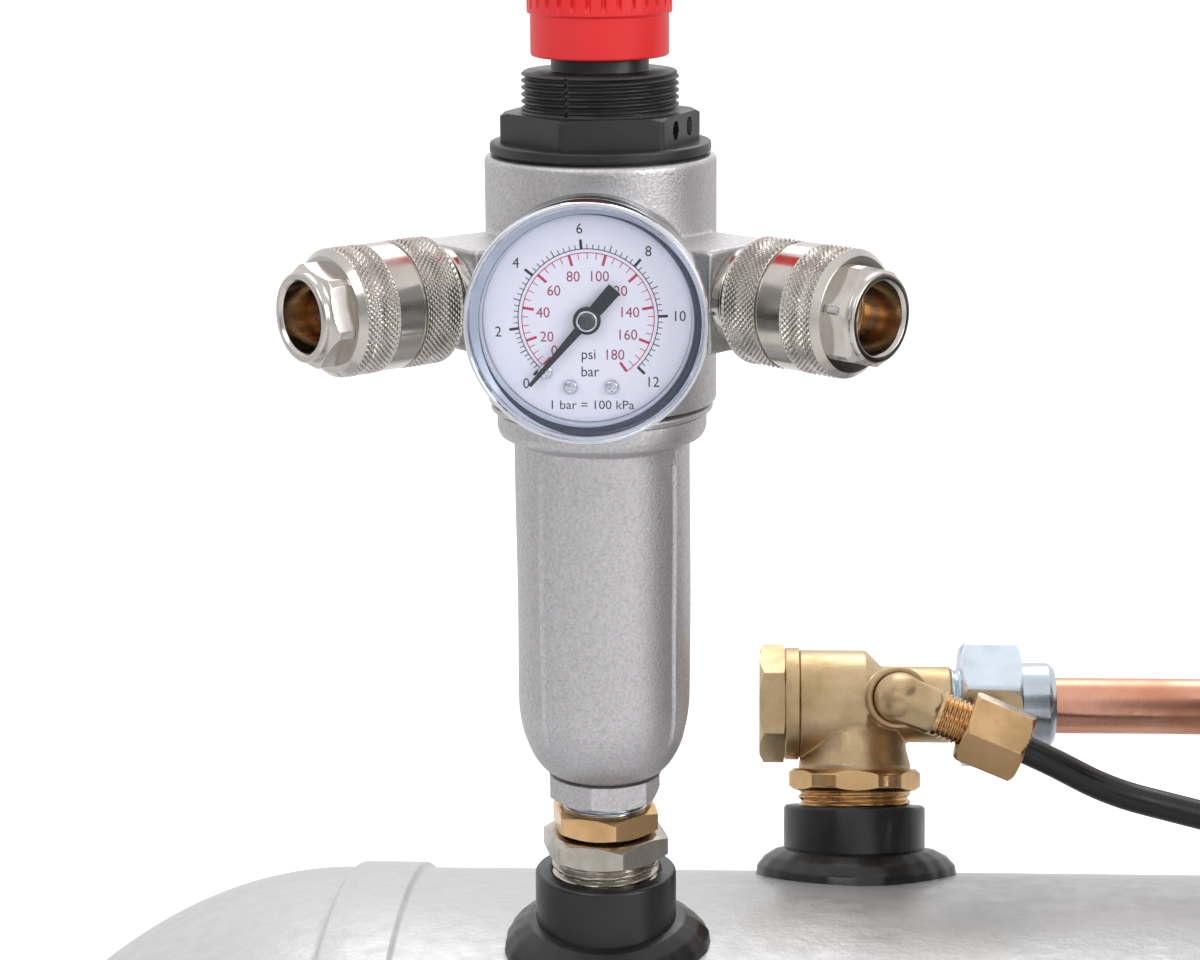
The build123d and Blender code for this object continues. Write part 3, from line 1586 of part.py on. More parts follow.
def make_drain_knob():
    """Knurled thumb screw with its valve stem, which opens the drain."""
    nose = small_socket_height * 0.8 + drain_hex_height + drain_nose_length
    start = nose + knob_gap
    knob = rod(2.0, 4, start)
    knob += rod(drain_knob_radius, start, start + drain_knob_length)
    groove = Pos(drain_knob_radius + 0.6, 0, start + drain_knob_length / 2) * Box(
        2.4, 2.0, 2 * drain_knob_length
    )
    for index in range(12):
        knob -= Rot(0, 0, index * 30) * groove
    return place(drain_frame, knob)


# Regulator column
def make_steel_nipple():
    """Steel hexagon nipple screwed into the outlet socket."""
    nipple = rod(outlet_thread_radius, outlet_socket_height - nipple_thread_length, steel_hex_bottom)
    nipple += hexagon(steel_hex_flats, steel_hex_bottom, steel_hex_top, steel_hex_turn)
    nipple -= rod(
        brass_lower_thread_radius + thread_clearance,
        outlet_socket_height - nipple_thread_length,
        steel_hex_top,
    )
    return place(outlet_frame, nipple)


def make_brass_nipple():
    """Brass hexagon nipple between the steel nipple and the filter bowl."""
    bottom = steel_hex_bottom - 4
    top = bowl_hex_bottom + bowl_hex_height
    nipple = rod(brass_lower_thread_radius, bottom, steel_hex_top)
    nipple += rod(brass_collar_radius, steel_hex_top, brass_hex_bottom)
    nipple += hexagon(brass_hex_flats, brass_hex_bottom, brass_hex_top, brass_hex_turn)
    nipple += rod(brass_upper_thread_radius, brass_hex_top, top)
    nipple -= rod(nipple_bore_radius, bottom, top)
    return place(outlet_frame, nipple)


def make_filter_bowl():
    """Cast bowl: hexagon, rounded bottom, straight wall with four flash lines, and collar."""
    dome_start = (bowl_dome_neck_radius, 0, bowl_hex_top)
    dome_end = (bowl_radius, 0, bowl_straight)
    dome = TangentArc(dome_end, dome_start, tangent=(0, 0, -1))
    collar_top = bowl_top
    wall = Polyline(
        dome_end,
        (bowl_radius, 0, bowl_collar_bottom - bowl_collar_slope),
        (bowl_radius + 0.8, 0, bowl_collar_bottom - bowl_collar_slope * 0.4),
        (bowl_collar_radius - 0.6, 0, bowl_collar_bottom - 0.4),
        (bowl_collar_radius, 0, bowl_collar_bottom + 0.6),
        (bowl_collar_radius, 0, collar_top - 0.6),
        (bowl_collar_radius - 0.6, 0, collar_top),
        (0, 0, collar_top),
        (0, 0, bowl_hex_top),
        dome_start,
    )
    bowl = revolve(make_face([dome, wall]), Axis.Z)
    bowl += hexagon(bowl_hex_flats, bowl_hex_bottom, bowl_hex_top + 2, bowl_hex_turn)
    rib_length = bowl_collar_bottom - bowl_collar_slope - bowl_straight
    rib = Box(2 * bowl_rib_height + 1, bowl_rib_width, rib_length)
    rib = Pos(bowl_radius - 0.5, 0, bowl_straight + rib_length / 2) * rib
    for angle in bowl_rib_angles:
        bowl += Rot(0, 0, angle - 90) * rib
    cavity_radius_here = bowl_radius - bowl_wall
    bowl -= turned(
        (0, bowl_hex_top + 2.5),
        (bowl_dome_neck_radius - 3, bowl_hex_top + 2.5),
        (cavity_radius_here, bowl_straight),
        (cavity_radius_here, collar_top - bowl_thread_length),
        (cavity_radius_here + 1, collar_top - bowl_thread_length),
        (cavity_radius_here + 1, collar_top),
        (0, collar_top),
    )
    bowl -= rod(brass_upper_thread_radius + thread_clearance, 0, bowl_hex_bottom + bowl_hex_height)
    bowl -= rod(nipple_bore_radius, bowl_hex_bottom, bowl_straight)
    return place(outlet_frame, bowl)


def coupler_angle(side):
    """Turn about Z that brings a part from the front to the left or right port."""
    return side * port_angle


def make_regulator_body():
    """Cast body with its round gauge pad and the two square port blocks."""
    body = turned(
        (0, regulator_bottom),
        (regulator_radius - regulator_edge, regulator_bottom),
        (regulator_radius, regulator_bottom + regulator_edge),
        (regulator_radius, regulator_top - regulator_edge),
        (regulator_radius - regulator_edge, regulator_top),
        (0, regulator_top),
    )
    body += Pos(0, 0, gauge_z) * to_front(rod(gauge_pad_radius, 0, gauge_pad_reach))
    half = port_block_width / 2
    for side in (-1, 1):
        block = extrude(RectangleRounded(2 * half, 2 * half, port_block_edge), port_block_reach)
        block = Pos(0, 0, port_z) * to_front(block)
        body += Rot(0, 0, coupler_angle(side)) * block
    spigot = rod(
        bowl_radius - bowl_wall + 1 - thread_clearance,
        bowl_top - bowl_thread_length + 1,
        regulator_bottom,
    )
    body += spigot
    inner = regulator_radius - regulator_wall
    body -= rod(inner, regulator_top - bonnet_spigot_length - 3, regulator_top)
    body -= rod(inner * 0.55, bowl_top - bowl_thread_length, regulator_top)
    for side in (-1, 1):
        bore = rod(coupler_thread_radius + thread_clearance, inner * 0.5, port_block_reach)
        body -= Rot(0, 0, coupler_angle(side)) * Pos(0, 0, port_z) * to_front(bore)
    bore = rod(gauge_stem_radius, inner * 0.5, gauge_pad_reach)
    body -= Pos(0, 0, gauge_z) * to_front(bore)
    return place(outlet_frame, body)


def make_regulator_bonnet():
    """Black moulded bonnet: flange, hexagon, long round part and neck for the knob."""
    spigot = regulator_radius - regulator_wall - thread_clearance
    flange_top = bonnet_hex_bottom
    bonnet = rod(spigot, regulator_top - bonnet_spigot_length, regulator_top)
    bonnet += rod(spigot + 2, regulator_top, bonnet_flange_bottom)
    bonnet += rod(bonnet_flange_radius, bonnet_flange_bottom, flange_top)
    hexagonal = extrude(
        RegularPolygon(bonnet_hex_flats / 2, 6, major_radius=False, rotation=bonnet_hex_turn),
        bonnet_hex_height,
    )
    bonnet += Pos(0, 0, flange_top) * hexagonal
    bonnet += rod(bonnet_thread_radius, bonnet_thread_bottom, bonnet_top)
    bonnet += rod(bonnet_neck_radius, bonnet_top, neck_top)
    chamber_radius = bonnet_thread_radius - bonnet_wall
    chamber_top = bonnet_top - bonnet_wall
    bonnet -= rod(chamber_radius, regulator_top - bonnet_spigot_length, chamber_top)
    bonnet -= rod(screw_radius + running_clearance, chamber_top, neck_top)
    return place(outlet_frame, bonnet)


def screw_plate_top():
    """Height of the top of the screw's thrust plate."""
    return bonnet_top - bonnet_wall - knob_gap


def make_regulator_screw():
    """Adjusting screw with the plate that presses on the spring."""
    plate_top = screw_plate_top()
    screw = rod(screw_radius, plate_top, plate_top + screw_length)
    screw += rod(screw_plate_radius, plate_top - screw_plate_height, plate_top)
    return place(outlet_frame, screw)


def make_regulator_spring():
    """Setting spring between the diaphragm and the screw's plate."""
    top = screw_plate_top() - screw_plate_height - spring_wire / 2 - running_clearance
    bottom = regulator_top - bonnet_spigot_length - 2
    radius = screw_plate_radius - spring_wire
    path = Helix(pitch=(top - bottom) / spring_turns, height=top - bottom, radius=radius)
    section = Plane(origin=path @ 0, z_dir=path % 0) * Circle(spring_wire / 2)
    return place(outlet_frame, Pos(0, 0, bottom) * sweep(section, path))


def make_regulator_knob():
    """Knob that lifts to unlock: smooth skirt below, ribbed grip above."""
    skirt_top = knob_bottom + knob_skirt_height
    grip = knob_grip_radius
    knob = turned(
        (0, knob_bottom),
        (knob_radius, knob_bottom),
        (knob_radius, skirt_top),
        (grip, skirt_top),
        (grip, knob_top - knob_edge),
        (grip - knob_edge, knob_top),
        (0, knob_top),
    )
    groove = Pos(grip + 0.6 - knob_rib_depth, 0, (skirt_top + knob_top) / 2 + 1) * Box(
        1.2, 1.3, knob_top - skirt_top - 2
    )
    for index in range(knob_rib_count):
        knob -= Rot(0, 0, index * 360 / knob_rib_count) * groove
    knob -= rod(bonnet_neck_radius + knob_gap * 2, knob_bottom - 1, knob_bottom + knob_wall)
    screw_end = screw_plate_top() + screw_length
    knob -= rod(screw_radius + running_clearance, knob_bottom, screw_end + 1)
    return place(outlet_frame, knob)


# Regulator gauge, made along Z from the regulator axis towards the viewer
glass_front = gauge_front - gauge_glass_depth
glass_back = glass_front - gauge_glass_thickness
dial_front = gauge_front - gauge_dial_depth
dial_back = dial_front - gauge_dial_thickness
gauge_back = gauge_front - gauge_depth
gauge_inner = gauge_radius - gauge_bezel_width


def make_gauge_case():
    """Gauge case with stem, hexagon and bezel, open to the front."""
    case_radius = gauge_radius - gauge_case_step
    bezel_back = gauge_front - gauge_bezel_depth
    case = turned(
        (0, gauge_back),
        (case_radius - 2, gauge_back),
        (case_radius, gauge_back + 2),
        (case_radius, bezel_back),
        (gauge_radius - 0.5, bezel_back),
        (gauge_radius, bezel_back + 0.8),
        (gauge_radius, gauge_front - 1.2),
        (gauge_radius - 0.8, gauge_front),
        (gauge_inner + 0.3, gauge_front),
        (gauge_inner, gauge_front - 0.3),
        (gauge_inner, dial_back),
        (gauge_inner - 1, dial_back),
        (gauge_inner - 1, gauge_back + gauge_wall),
        (0, gauge_back + gauge_wall),
    )
    case += hexagon(gauge_hex_flats, gauge_pad_reach, gauge_back)
    case += rod(gauge_stem_radius - thread_clearance, gauge_pad_reach - 8, gauge_pad_reach)
    case += tube(3.0, pointer_pin_radius + running_clearance, gauge_back, dial_back - 0.5)
    return place(gauge_frame, case)


def make_gauge_dial():
    """Round dial plate of the gauge."""
    dial = tube(
        gauge_inner - thread_clearance, pointer_pin_radius + running_clearance, dial_back, dial_front
    )
    return place(gauge_frame, dial)


def make_gauge_pointer():
    """Pointer with its hub and pin, at zero pressure."""
    start = dial_front + 0.6
    blade = Pos(0, (pointer_length - pointer_tail) / 2, start + pointer_thickness / 2) * Box(
        pointer_width, pointer_length + pointer_tail, pointer_thickness
    )
    tail = Pos(0, -pointer_tail * 0.7, start + pointer_thickness / 2) * Box(
        pointer_width * 2.2, pointer_tail * 0.6, pointer_thickness
    )
    pointer = blade + tail + rod(pointer_hub_radius, start, start + 2 * pointer_thickness)
    pointer += rod(pointer_pin_radius, dial_back - 4, start)
    return place(gauge_frame, Rot(0, 0, -pointer_zero) * pointer)


def make_gauge_glass():
    """Clear window of the gauge."""
    return place(gauge_frame, rod(gauge_inner - thread_clearance, glass_back, glass_front))


# Quick couplers, made along Z from the regulator axis
sleeve_front = coupler_mouth - coupler_nose_length
sleeve_back = sleeve_front - coupler_sleeve_length
seat_back = coupler_mouth - coupler_seat_depth - coupler_seat_thickness
seat_front = coupler_mouth - coupler_seat_depth


def coupler_frame(side):
    """Frame of a coupler, with Z from the regulator axis out through its mouth."""
    angle = math.radians(coupler_angle(side))
    origin = outlet_frame.from_local_coords(Vector(0, 0, port_z))
    return Plane(origin=origin, x_dir=(0, 0, 1), z_dir=(math.sin(angle), -math.cos(angle), 0))


def make_coupler_body(side):
    """Coupler body: threaded end, shoulder, stem, flatted collar and mouth."""
    collar_end = coupler_mouth - coupler_nose_ring
    shoulder_end = port_block_reach + coupler_shoulder_length
    body = turned(
        (0, port_block_reach - coupler_thread_length),
        (coupler_thread_radius, port_block_reach - coupler_thread_length),
        (coupler_thread_radius, port_block_reach),
        (coupler_shoulder_radius, port_block_reach),
        (coupler_shoulder_radius, shoulder_end),
        (coupler_body_radius, shoulder_end + 1.5),
        (coupler_body_radius, sleeve_front),
        (0, sleeve_front),
    )
    collar = hexagon(coupler_collar_flats, sleeve_front, collar_end, coupler_collar_turn)
    body += collar & rod(coupler_collar_radius, sleeve_front, collar_end)
    body += turned(
        (0, collar_end),
        (coupler_nose_radius, collar_end),
        (coupler_nose_radius, coupler_mouth - 0.5),
        (coupler_nose_radius - 0.5, coupler_mouth),
        (0, coupler_mouth),
    )
    chamber_back = shoulder_end + 1
    body -= rod(coupler_bore_radius, seat_front, coupler_mouth)
    body -= rod(coupler_seat_radius, seat_back, seat_front)
    body -= rod(coupler_bore_radius, chamber_back, seat_back)
    body -= rod(coupler_seat_radius, port_block_reach - coupler_thread_length, chamber_back)
    return place(coupler_frame(side), body)


def make_coupler_sleeve(side):
    """Sliding sleeve of the coupler, with a smooth band between its two gripping rings."""
    edge = coupler_sleeve_edge
    radius = coupler_sleeve_radius
    band_start = sleeve_back + coupler_band_start
    band_end = band_start + coupler_band_length
    band_radius = radius - coupler_band_depth
    inner = coupler_body_radius + coupler_sleeve_gap
    counterbore = coupler_shoulder_radius + coupler_sleeve_gap
    sleeve = turned(
        (counterbore, sleeve_back),
        (radius - edge * 0.6, sleeve_back),
        (radius, sleeve_back + edge * 0.6),
        (radius, band_start - 0.4),
        (band_radius, band_start),
        (band_radius, band_end),
        (radius, band_end + 0.4),
        (radius, sleeve_front - edge - 0.3),
        (radius - edge, sleeve_front - 0.3),
        (inner, sleeve_front - 0.3),
        (inner, sleeve_back + coupler_counterbore),
        (counterbore, sleeve_back + coupler_counterbore),
    )
    return place(coupler_frame(side), sleeve)


def make_coupler_poppet(side):
    """Poppet that closes the coupler when nothing is plugged in."""
    face = seat_back - coupler_poppet_gap
    poppet = turned(
        (0, face - 4),
        (coupler_bore_radius - 0.8, face - 4),
        (coupler_bore_radius - 0.8, face - 1),
        (coupler_seat_radius - 0.4, face),
        (coupler_seat_radius - 0.4, seat_front - 1),
        (coupler_seat_radius - 1.2, seat_front - 0.2),
        (0, seat_front - 0.2),
    )
    return place(coupler_frame(side), poppet)


makers = {
    "tank": make_tank,
    "tank_bosses": make_tank_bosses,
    "foot_bracket": make_foot_bracket,
    "wheel_bracket": make_wheel_bracket,
    "rubber_mounts": make_rubber_mounts,
    "front_wheel": lambda: make_wheel(-1),
    "rear_wheel": lambda: make_wheel(1),
    "wheel_bolts": make_wheel_bolts,
    "handle_tube": make_handle_tube,
    "handle_grip": make_handle_grip,
    "pump_platform": make_pump_platform,
    "crankcase": make_crankcase,
    "crankcase_cover": make_crankcase_cover,
    "oil_sight_glass": make_oil_sight_glass,
    "oil_breather": make_oil_breather,
    "cylinder": make_cylinder,
    "cylinder_head": make_cylinder_head,
    "head_bolts": make_head_bolts,
    "air_filter": make_air_filter,
    "piston": make_piston,
    "connecting_rod": make_connecting_rod,
    "crankshaft": make_crankshaft,
    "motor_housing": make_motor_housing,
    "cooling_fan": make_fan,
    "fan_cowl": make_fan_cowl,
    "terminal_box": make_terminal_box,
    "check_valve_body": make_check_valve_body,
    "check_valve_cap": make_check_valve_cap,
    "check_valve_poppet": make_check_valve_poppet,
    "pipe_nuts": make_pipe_nuts,
    "delivery_pipe": make_delivery_pipe,
    "unloader_fittings": make_unloader_fittings,
    "unloader_tube": make_unloader_tube,
    "manifold": make_manifold,
    "pressure_switch_base": make_pressure_switch_base,
    "pressure_switch_cover": make_pressure_switch_cover,
    "pressure_switch_knob": make_pressure_switch_knob,
    "safety_valve": make_safety_valve,
    "safety_valve_ring": make_safety_valve_ring,
    "tank_gauge": make_tank_gauge,
    "drain_valve": make_drain_valve,
    "drain_knob": make_drain_knob,
    "steel_nipple": make_steel_nipple,
    "brass_nipple": make_brass_nipple,
    "filter_bowl": make_filter_bowl,
    "regulator_body": make_regulator_body,
    "regulator_bonnet": make_regulator_bonnet,
    "regulator_screw": make_regulator_screw,
    "regulator_spring": make_regulator_spring,
    "regulator_knob": make_regulator_knob,
    "gauge_case": make_gauge_case,
    "gauge_dial": make_gauge_dial,
    "gauge_pointer": make_gauge_pointer,
    "gauge_glass": make_gauge_glass,
    "left_coupler_body": lambda: make_coupler_body(-1),
    "left_coupler_sleeve": lambda: make_coupler_sleeve(-1),
    "left_coupler_poppet": lambda: make_coupler_poppet(-1),
    "right_coupler_body": lambda: make_coupler_body(1),
    "right_coupler_sleeve": lambda: make_coupler_sleeve(1),
    "right_coupler_poppet": lambda: make_coupler_poppet(1),
}

for name, make in makers.items():
    export_step(make(), f"parts/{name}.step")
    print("made", name)
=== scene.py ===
"""Looks of a wheeled piston air compressor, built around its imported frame.

The regulator end is seen close up, so its turned, cast and knurled pieces are made here as fine
meshes that stand for the plain solids. The rest of the machine keeps its solids, with broken
edges. Sizes in the classes are millimetres and degrees, and the model itself is in metres.
"""

import logging
import math
from dataclasses import dataclass
from enum import Enum
from typing import Callable, ClassVar, Optional, Sequence

import bmesh
import bpy
import numpy as np
from mathutils import Matrix, Vector


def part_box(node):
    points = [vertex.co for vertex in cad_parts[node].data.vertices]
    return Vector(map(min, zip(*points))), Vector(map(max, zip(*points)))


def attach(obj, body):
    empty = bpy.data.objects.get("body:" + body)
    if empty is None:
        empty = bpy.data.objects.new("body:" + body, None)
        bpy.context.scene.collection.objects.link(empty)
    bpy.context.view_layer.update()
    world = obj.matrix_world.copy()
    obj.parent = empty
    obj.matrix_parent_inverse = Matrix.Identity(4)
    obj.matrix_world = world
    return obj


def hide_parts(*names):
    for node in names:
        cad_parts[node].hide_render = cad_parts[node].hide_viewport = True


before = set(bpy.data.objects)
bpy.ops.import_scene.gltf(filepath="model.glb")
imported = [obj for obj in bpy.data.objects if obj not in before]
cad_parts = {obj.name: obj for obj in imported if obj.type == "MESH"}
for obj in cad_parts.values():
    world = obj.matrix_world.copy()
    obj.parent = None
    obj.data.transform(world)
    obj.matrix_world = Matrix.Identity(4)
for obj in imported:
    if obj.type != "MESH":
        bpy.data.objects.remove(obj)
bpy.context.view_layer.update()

LOG = logging.getLogger("compressor")
MM = 0.001
STATIC = "machine"
SMALL = 1e-6

# Degrees between two faces from which the edge stays sharp, on fine meshes and on copies of solids
SHARP_ANGLE = 34.0
BROKEN_EDGE_ANGLE = 38.0
# Degrees between two faces of a solid: more is an edge to break, less is one flat face
BREAK_ANGLE = 40.0
FLAT_ANGLE = 0.6
# Arcs in an outline: half angle that needs none, share of a run they may use, degrees per point
NEARLY_STRAIGHT = 88
ARC_SHARE = 0.45
ARC_STEP = 22
# Print: share of the letters' size that capitals fill, and its thickness in millimetres
CAPITAL_SHARE = 0.72
LETTER_HEIGHT = 0.012
PRINT_HEIGHT = 0.02
# Run in millimetres over which a knurl fades out at the ends of its band
KNURL_FADE = 0.35

Piece = bpy.types.Object
Material = bpy.types.Material
Tree = bpy.types.NodeTree
Node = bpy.types.Node
Socket = bpy.types.NodeSocket
Grid = np.ndarray
Outline = list[tuple[float, float]]
Shape = Callable[[Grid, Grid, Grid], tuple[Grid, Grid]]
Settle = Callable[[Grid, Grid], Grid]


def linear(colour: str) -> tuple[float, float, float, float]:
    """Turn an sRGB hex colour to linear light.

    Args:
        colour: Six hex digits with a leading mark, such as "#C8A36A".

    Returns:
        Red, green, blue and alpha.
    """
    values = []
    for start in (1, 3, 5):
        share = int(colour[start:start + 2], 16) / 255
        values.append(share / 12.92 if share <= 0.04045 else ((share + 0.055) / 1.055) ** 2.4)
    return values[0], values[1], values[2], 1.0


def node_box(name: str) -> tuple[Vector, Vector]:
    """Lowest and highest corner of a solid at rest, in metres."""
    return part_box(name)


def middle(name: str) -> Vector:
    """Middle of a solid's box, in metres."""
    low, high = node_box(name)
    return (low + high) / 2


@dataclass(frozen=True)
class Place:
    """A sub-assembly's own frame: millimetres along its axes, metres in the model."""

    origin: Vector
    x_axis: Vector
    z_axis: Vector

    def matrix(self) -> Matrix:
        """Matrix from the frame's millimetres to the model's metres."""
        up = self.z_axis.normalized()
        ahead = (self.x_axis - up * self.x_axis.dot(up)).normalized()
        turn = Matrix((ahead, up.cross(ahead), up)).transposed().to_4x4()
        return Matrix.Translation(self.origin) @ turn @ Matrix.Scale(MM, 4)

    def at(self, x: float, y: float, z: float) -> Vector:
        """Point of the frame in the model's metres."""
        return self.matrix() @ Vector((x, y, z))

    def inner(self, origin: Sequence[float], x_axis: Sequence[float], z_axis: Sequence[float]) -> "Place":
        """Frame that stands in this one.

        Args:
            origin: Its origin in this frame's millimetres.
            x_axis: Direction of its X in this frame.
            z_axis: Direction of its Z in this frame.

        Returns:
            The new frame.
        """
        turn = self.matrix().to_3x3()
        ahead = (turn @ Vector(x_axis)).normalized()
        up = (turn @ Vector(z_axis)).normalized()
        return Place(self.at(*origin), ahead, up)


X_AXIS = Vector((1, 0, 0))
Y_AXIS = Vector((0, 1, 0))
Z_AXIS = Vector((0, 0, 1))


class Side(Enum):
    """Side of a coupler as the viewer sees it."""

    LEFT = -1
    RIGHT = 1


def add_node(tree: Tree, kind: str, inputs: Optional[dict] = None, **settings) -> Node:
    """Add one node with its settings and links.

    Args:
        tree: Node tree that takes the node.
        kind: Blender's name of the node type.
        inputs: Values or output sockets by input name or number.
        **settings: Attributes of the node.

    Returns:
        The new node.
    """
    node = tree.nodes.new(kind)
    for key, value in settings.items():
        setattr(node, key, value)
    for key, value in (inputs or {}).items():
        if isinstance(value, Socket):
            tree.links.new(value, node.inputs[key])
        else:
            node.inputs[key].default_value = value
    return node


def blank_material(name: str) -> Material:
    """New material without any nodes."""
    material = bpy.data.materials.new(name)
    material.use_nodes = True
    material.node_tree.nodes.clear()
    return material


def placed(name: str, data: Optional[bpy.types.ID]) -> Piece:
    """New object of the scene with the given mesh, curve, lamp or camera."""
    result = bpy.data.objects.new(name, data)
    bpy.context.scene.collection.objects.link(result)
    return result


@dataclass(frozen=True)
class Finish:
    """Surface of one real material, made from noise whose sizes are real millimetres."""

    name: str
    slot: str
    colour: str
    roughness: float
    metallic: float = 0.0
    stain: str = ""
    stain_size: float = 12.0
    stain_share: float = 0.5
    grain_size: float = 0.0
    grain_height: float = 0.0
    lump_size: float = 0.0
    lump_height: float = 0.0
    rough_spread: float = 0.08
    coat: float = 0.0
    coat_roughness: float = 0.1
    turning: float = 0.0
    turning_height: float = 0.0
    specular: float = 0.5

    def build(self) -> Material:
        """Material of this finish, made once and kept under its name."""
        known = bpy.data.materials.get(self.name)
        if known:
            return known
        material = blank_material(self.name)
        tree = material.node_tree
        shader = add_node(
            tree,
            "ShaderNodeBsdfPrincipled",
            {
                "Base Color": linear(self.colour),
                "Roughness": self.roughness,
                "Metallic": self.metallic,
                "Coat Weight": self.coat,
                "Coat Roughness": self.coat_roughness,
                "Specular IOR Level": self.specular,
            },
        )
        place = add_node(tree, "ShaderNodeTexCoord").outputs["Object"]
        self._stain(tree, shader, place)
        self._relief(tree, shader, place)
        add_node(tree, "ShaderNodeOutputMaterial", {"Surface": shader.outputs["BSDF"]})
        return material

    def _noise(self, tree: Tree, place: Socket, size: float, detail: float) -> Node:
        """Noise whose blobs are about so many millimetres across."""
        inputs = {"Vector": place, "Scale": 0.5 / (size * MM), "Detail": detail, "Roughness": 0.6}
        return add_node(tree, "ShaderNodeTexNoise", inputs)

    def _stain(self, tree: Tree, shader: Node, place: Socket) -> None:
        """Slow change of colour and roughness over the surface."""
        noise = self._noise(tree, place, self.stain_size, 4.0)
        spread = add_node(
            tree,
            "ShaderNodeMapRange",
            {
                "Value": noise.outputs["Fac"],
                "From Min": 0.35,
                "From Max": 0.65,
                "To Min": max(0.02, self.roughness - self.rough_spread),
                "To Max": min(1.0, self.roughness + self.rough_spread),
            },
        )
        tree.links.new(spread.outputs["Result"], shader.inputs["Roughness"])
        if not self.stain:
            return
        share = add_node(
            tree,
            "ShaderNodeMapRange",
            {"Value": noise.outputs["Fac"], "From Min": 0.4, "From Max": 0.7, "To Max": self.stain_share},
        )
        mix = add_node(tree, "ShaderNodeMix", data_type="RGBA")
        tree.links.new(share.outputs["Result"], mix.inputs[0])
        mix.inputs[6].default_value = linear(self.colour)
        mix.inputs[7].default_value = linear(self.stain)
        tree.links.new(mix.outputs[2], shader.inputs["Base Color"])

    def _relief(self, tree: Tree, shader: Node, place: Socket) -> None:
        """Grain, lumps and turning marks as bumps of their real height."""
        normal = None
        layers = []
        if self.lump_height:
            layers.append((self._noise(tree, place, self.lump_size, 1.0).outputs["Fac"], self.lump_height))
        if self.grain_height:
            layers.append((self._noise(tree, place, self.grain_size, 3.0).outputs["Fac"], self.grain_height))
        if self.turning_height:
            along = add_node(tree, "ShaderNodeAttribute", attribute_name="along").outputs["Fac"]
            marks = add_node(
                tree,
                "ShaderNodeTexNoise",
                {"W": along, "Scale": 0.5 / self.turning, "Detail": 2.0},
                noise_dimensions="1D",
            )
            layers.append((marks.outputs["Fac"], self.turning_height))
        for height, depth in layers:
            inputs = {"Height": height, "Distance": depth * MM, "Strength": 1.0}
            if normal is not None:
                inputs["Normal"] = normal
            normal = add_node(tree, "ShaderNodeBump", inputs).outputs["Normal"]
        if normal is not None:
            tree.links.new(normal, shader.inputs["Normal"])


@dataclass(frozen=True)
class ClearPlastic:
    """Injection-moulded clear polycarbonate: the wall is see-through and its faces mirror a little."""

    name: str
    slot: str
    tint: str

    def build(self) -> Material:
        """Material of the window, made once and kept under its name."""
        known = bpy.data.materials.get(self.name)
        if known:
            return known
        material = blank_material(self.name)
        tree = material.node_tree
        through = add_node(tree, "ShaderNodeBsdfTransparent", {"Color": linear(self.tint)})
        gloss = add_node(tree, "ShaderNodeBsdfGlossy", {"Color": linear("#FFFFFF"), "Roughness": 0.03})
        slant = add_node(tree, "ShaderNodeLayerWeight", {"Blend": 0.12})
        span = {"Value": slant.outputs["Facing"], "To Min": 0.02, "To Max": 0.7}
        share = add_node(tree, "ShaderNodeMapRange", span)
        layers = {0: share.outputs["Result"], 1: through.outputs["BSDF"], 2: gloss.outputs["BSDF"]}
        mix = add_node(tree, "ShaderNodeMixShader", layers)
        add_node(tree, "ShaderNodeOutputMaterial", {"Surface": mix.outputs["Shader"]})
        return material


# Sand-cast aluminium, shot-blasted: a sandy skin that sparkles, with slow swells from the mould
SAND_CAST = Finish(
    "sand_cast_aluminium", "cast_aluminium", "#CBC9CB", 0.42, metallic=0.85, stain="#A3A1A3",
    stain_size=0.32, stain_share=0.55, grain_size=0.26, grain_height=0.09, lump_size=3.0, lump_height=0.04,
)
# Die-cast aluminium, tumbled: closer grain than sand casting and a duller skin
DIE_CAST = Finish(
    "die_cast_aluminium", "pump_casting", "#A6A9AC", 0.42, metallic=1.0, stain="#8E9194", stain_size=22,
    stain_share=0.6, grain_size=0.5, grain_height=0.05, lump_size=6, lump_height=0.08,
)
# Silver enamel sprayed on the steel tank: metal flake under a clear gloss, with orange peel
TANK_ENAMEL = Finish(
    "silver_enamel", "tank_paint", "#CBCBCC", 0.40, metallic=0.4, stain="#BFBFC0", stain_size=2.2,
    stain_share=0.5, grain_size=0.8, grain_height=0.12, lump_size=3.4, lump_height=0.22, coat=0.25,
    coat_roughness=0.2,
)
# Black enamel brushed thick over weld and sockets: deep gloss with runs
BLACK_ENAMEL = Finish(
    "black_enamel", "boss_paint", "#0C0C0E", 0.36, stain="#1A1A1C", stain_size=6, stain_share=0.4,
    grain_size=1.2, grain_height=0.04, lump_size=4.0, lump_height=0.10, coat=0.2, coat_roughness=0.2,
)
# Forged brass, tumbled and left bare: satin, with a brown cast where hands and heat have been
FORGED_BRASS = Finish(
    "forged_brass", "satin_brass", "#CDB48E", 0.36, metallic=1.0, stain="#AE9064", stain_size=5,
    stain_share=0.6, grain_size=0.4, grain_height=0.05, lump_size=3.0, lump_height=0.08,
)
# Turned and milled brass: bright faces with the marks of the tool
TURNED_BRASS = Finish(
    "turned_brass", "satin_brass", "#D9B384", 0.24, metallic=1.0, stain="#B88F5E", stain_size=5,
    stain_share=0.5, turning=0.12, turning_height=0.004,
)
# Nickel-plated steel, barrel plated: warm silver, a little clouded
NICKEL_STEEL = Finish(
    "nickel_plated_steel", "nickel_steel", "#BDB7AE", 0.24, metallic=1.0, stain="#958D82", stain_size=4,
    stain_share=0.6, turning=0.10, turning_height=0.004,
)
# Nickel-plated brass of the couplers: warm silver, bright, with fine turning marks
NICKEL_BRASS = Finish(
    "nickel_plated_brass", "nickel_brass", "#CCC7C1", 0.18, metallic=1.0, stain="#A9A198", stain_size=6,
    stain_share=0.5, turning=0.10, turning_height=0.003,
)
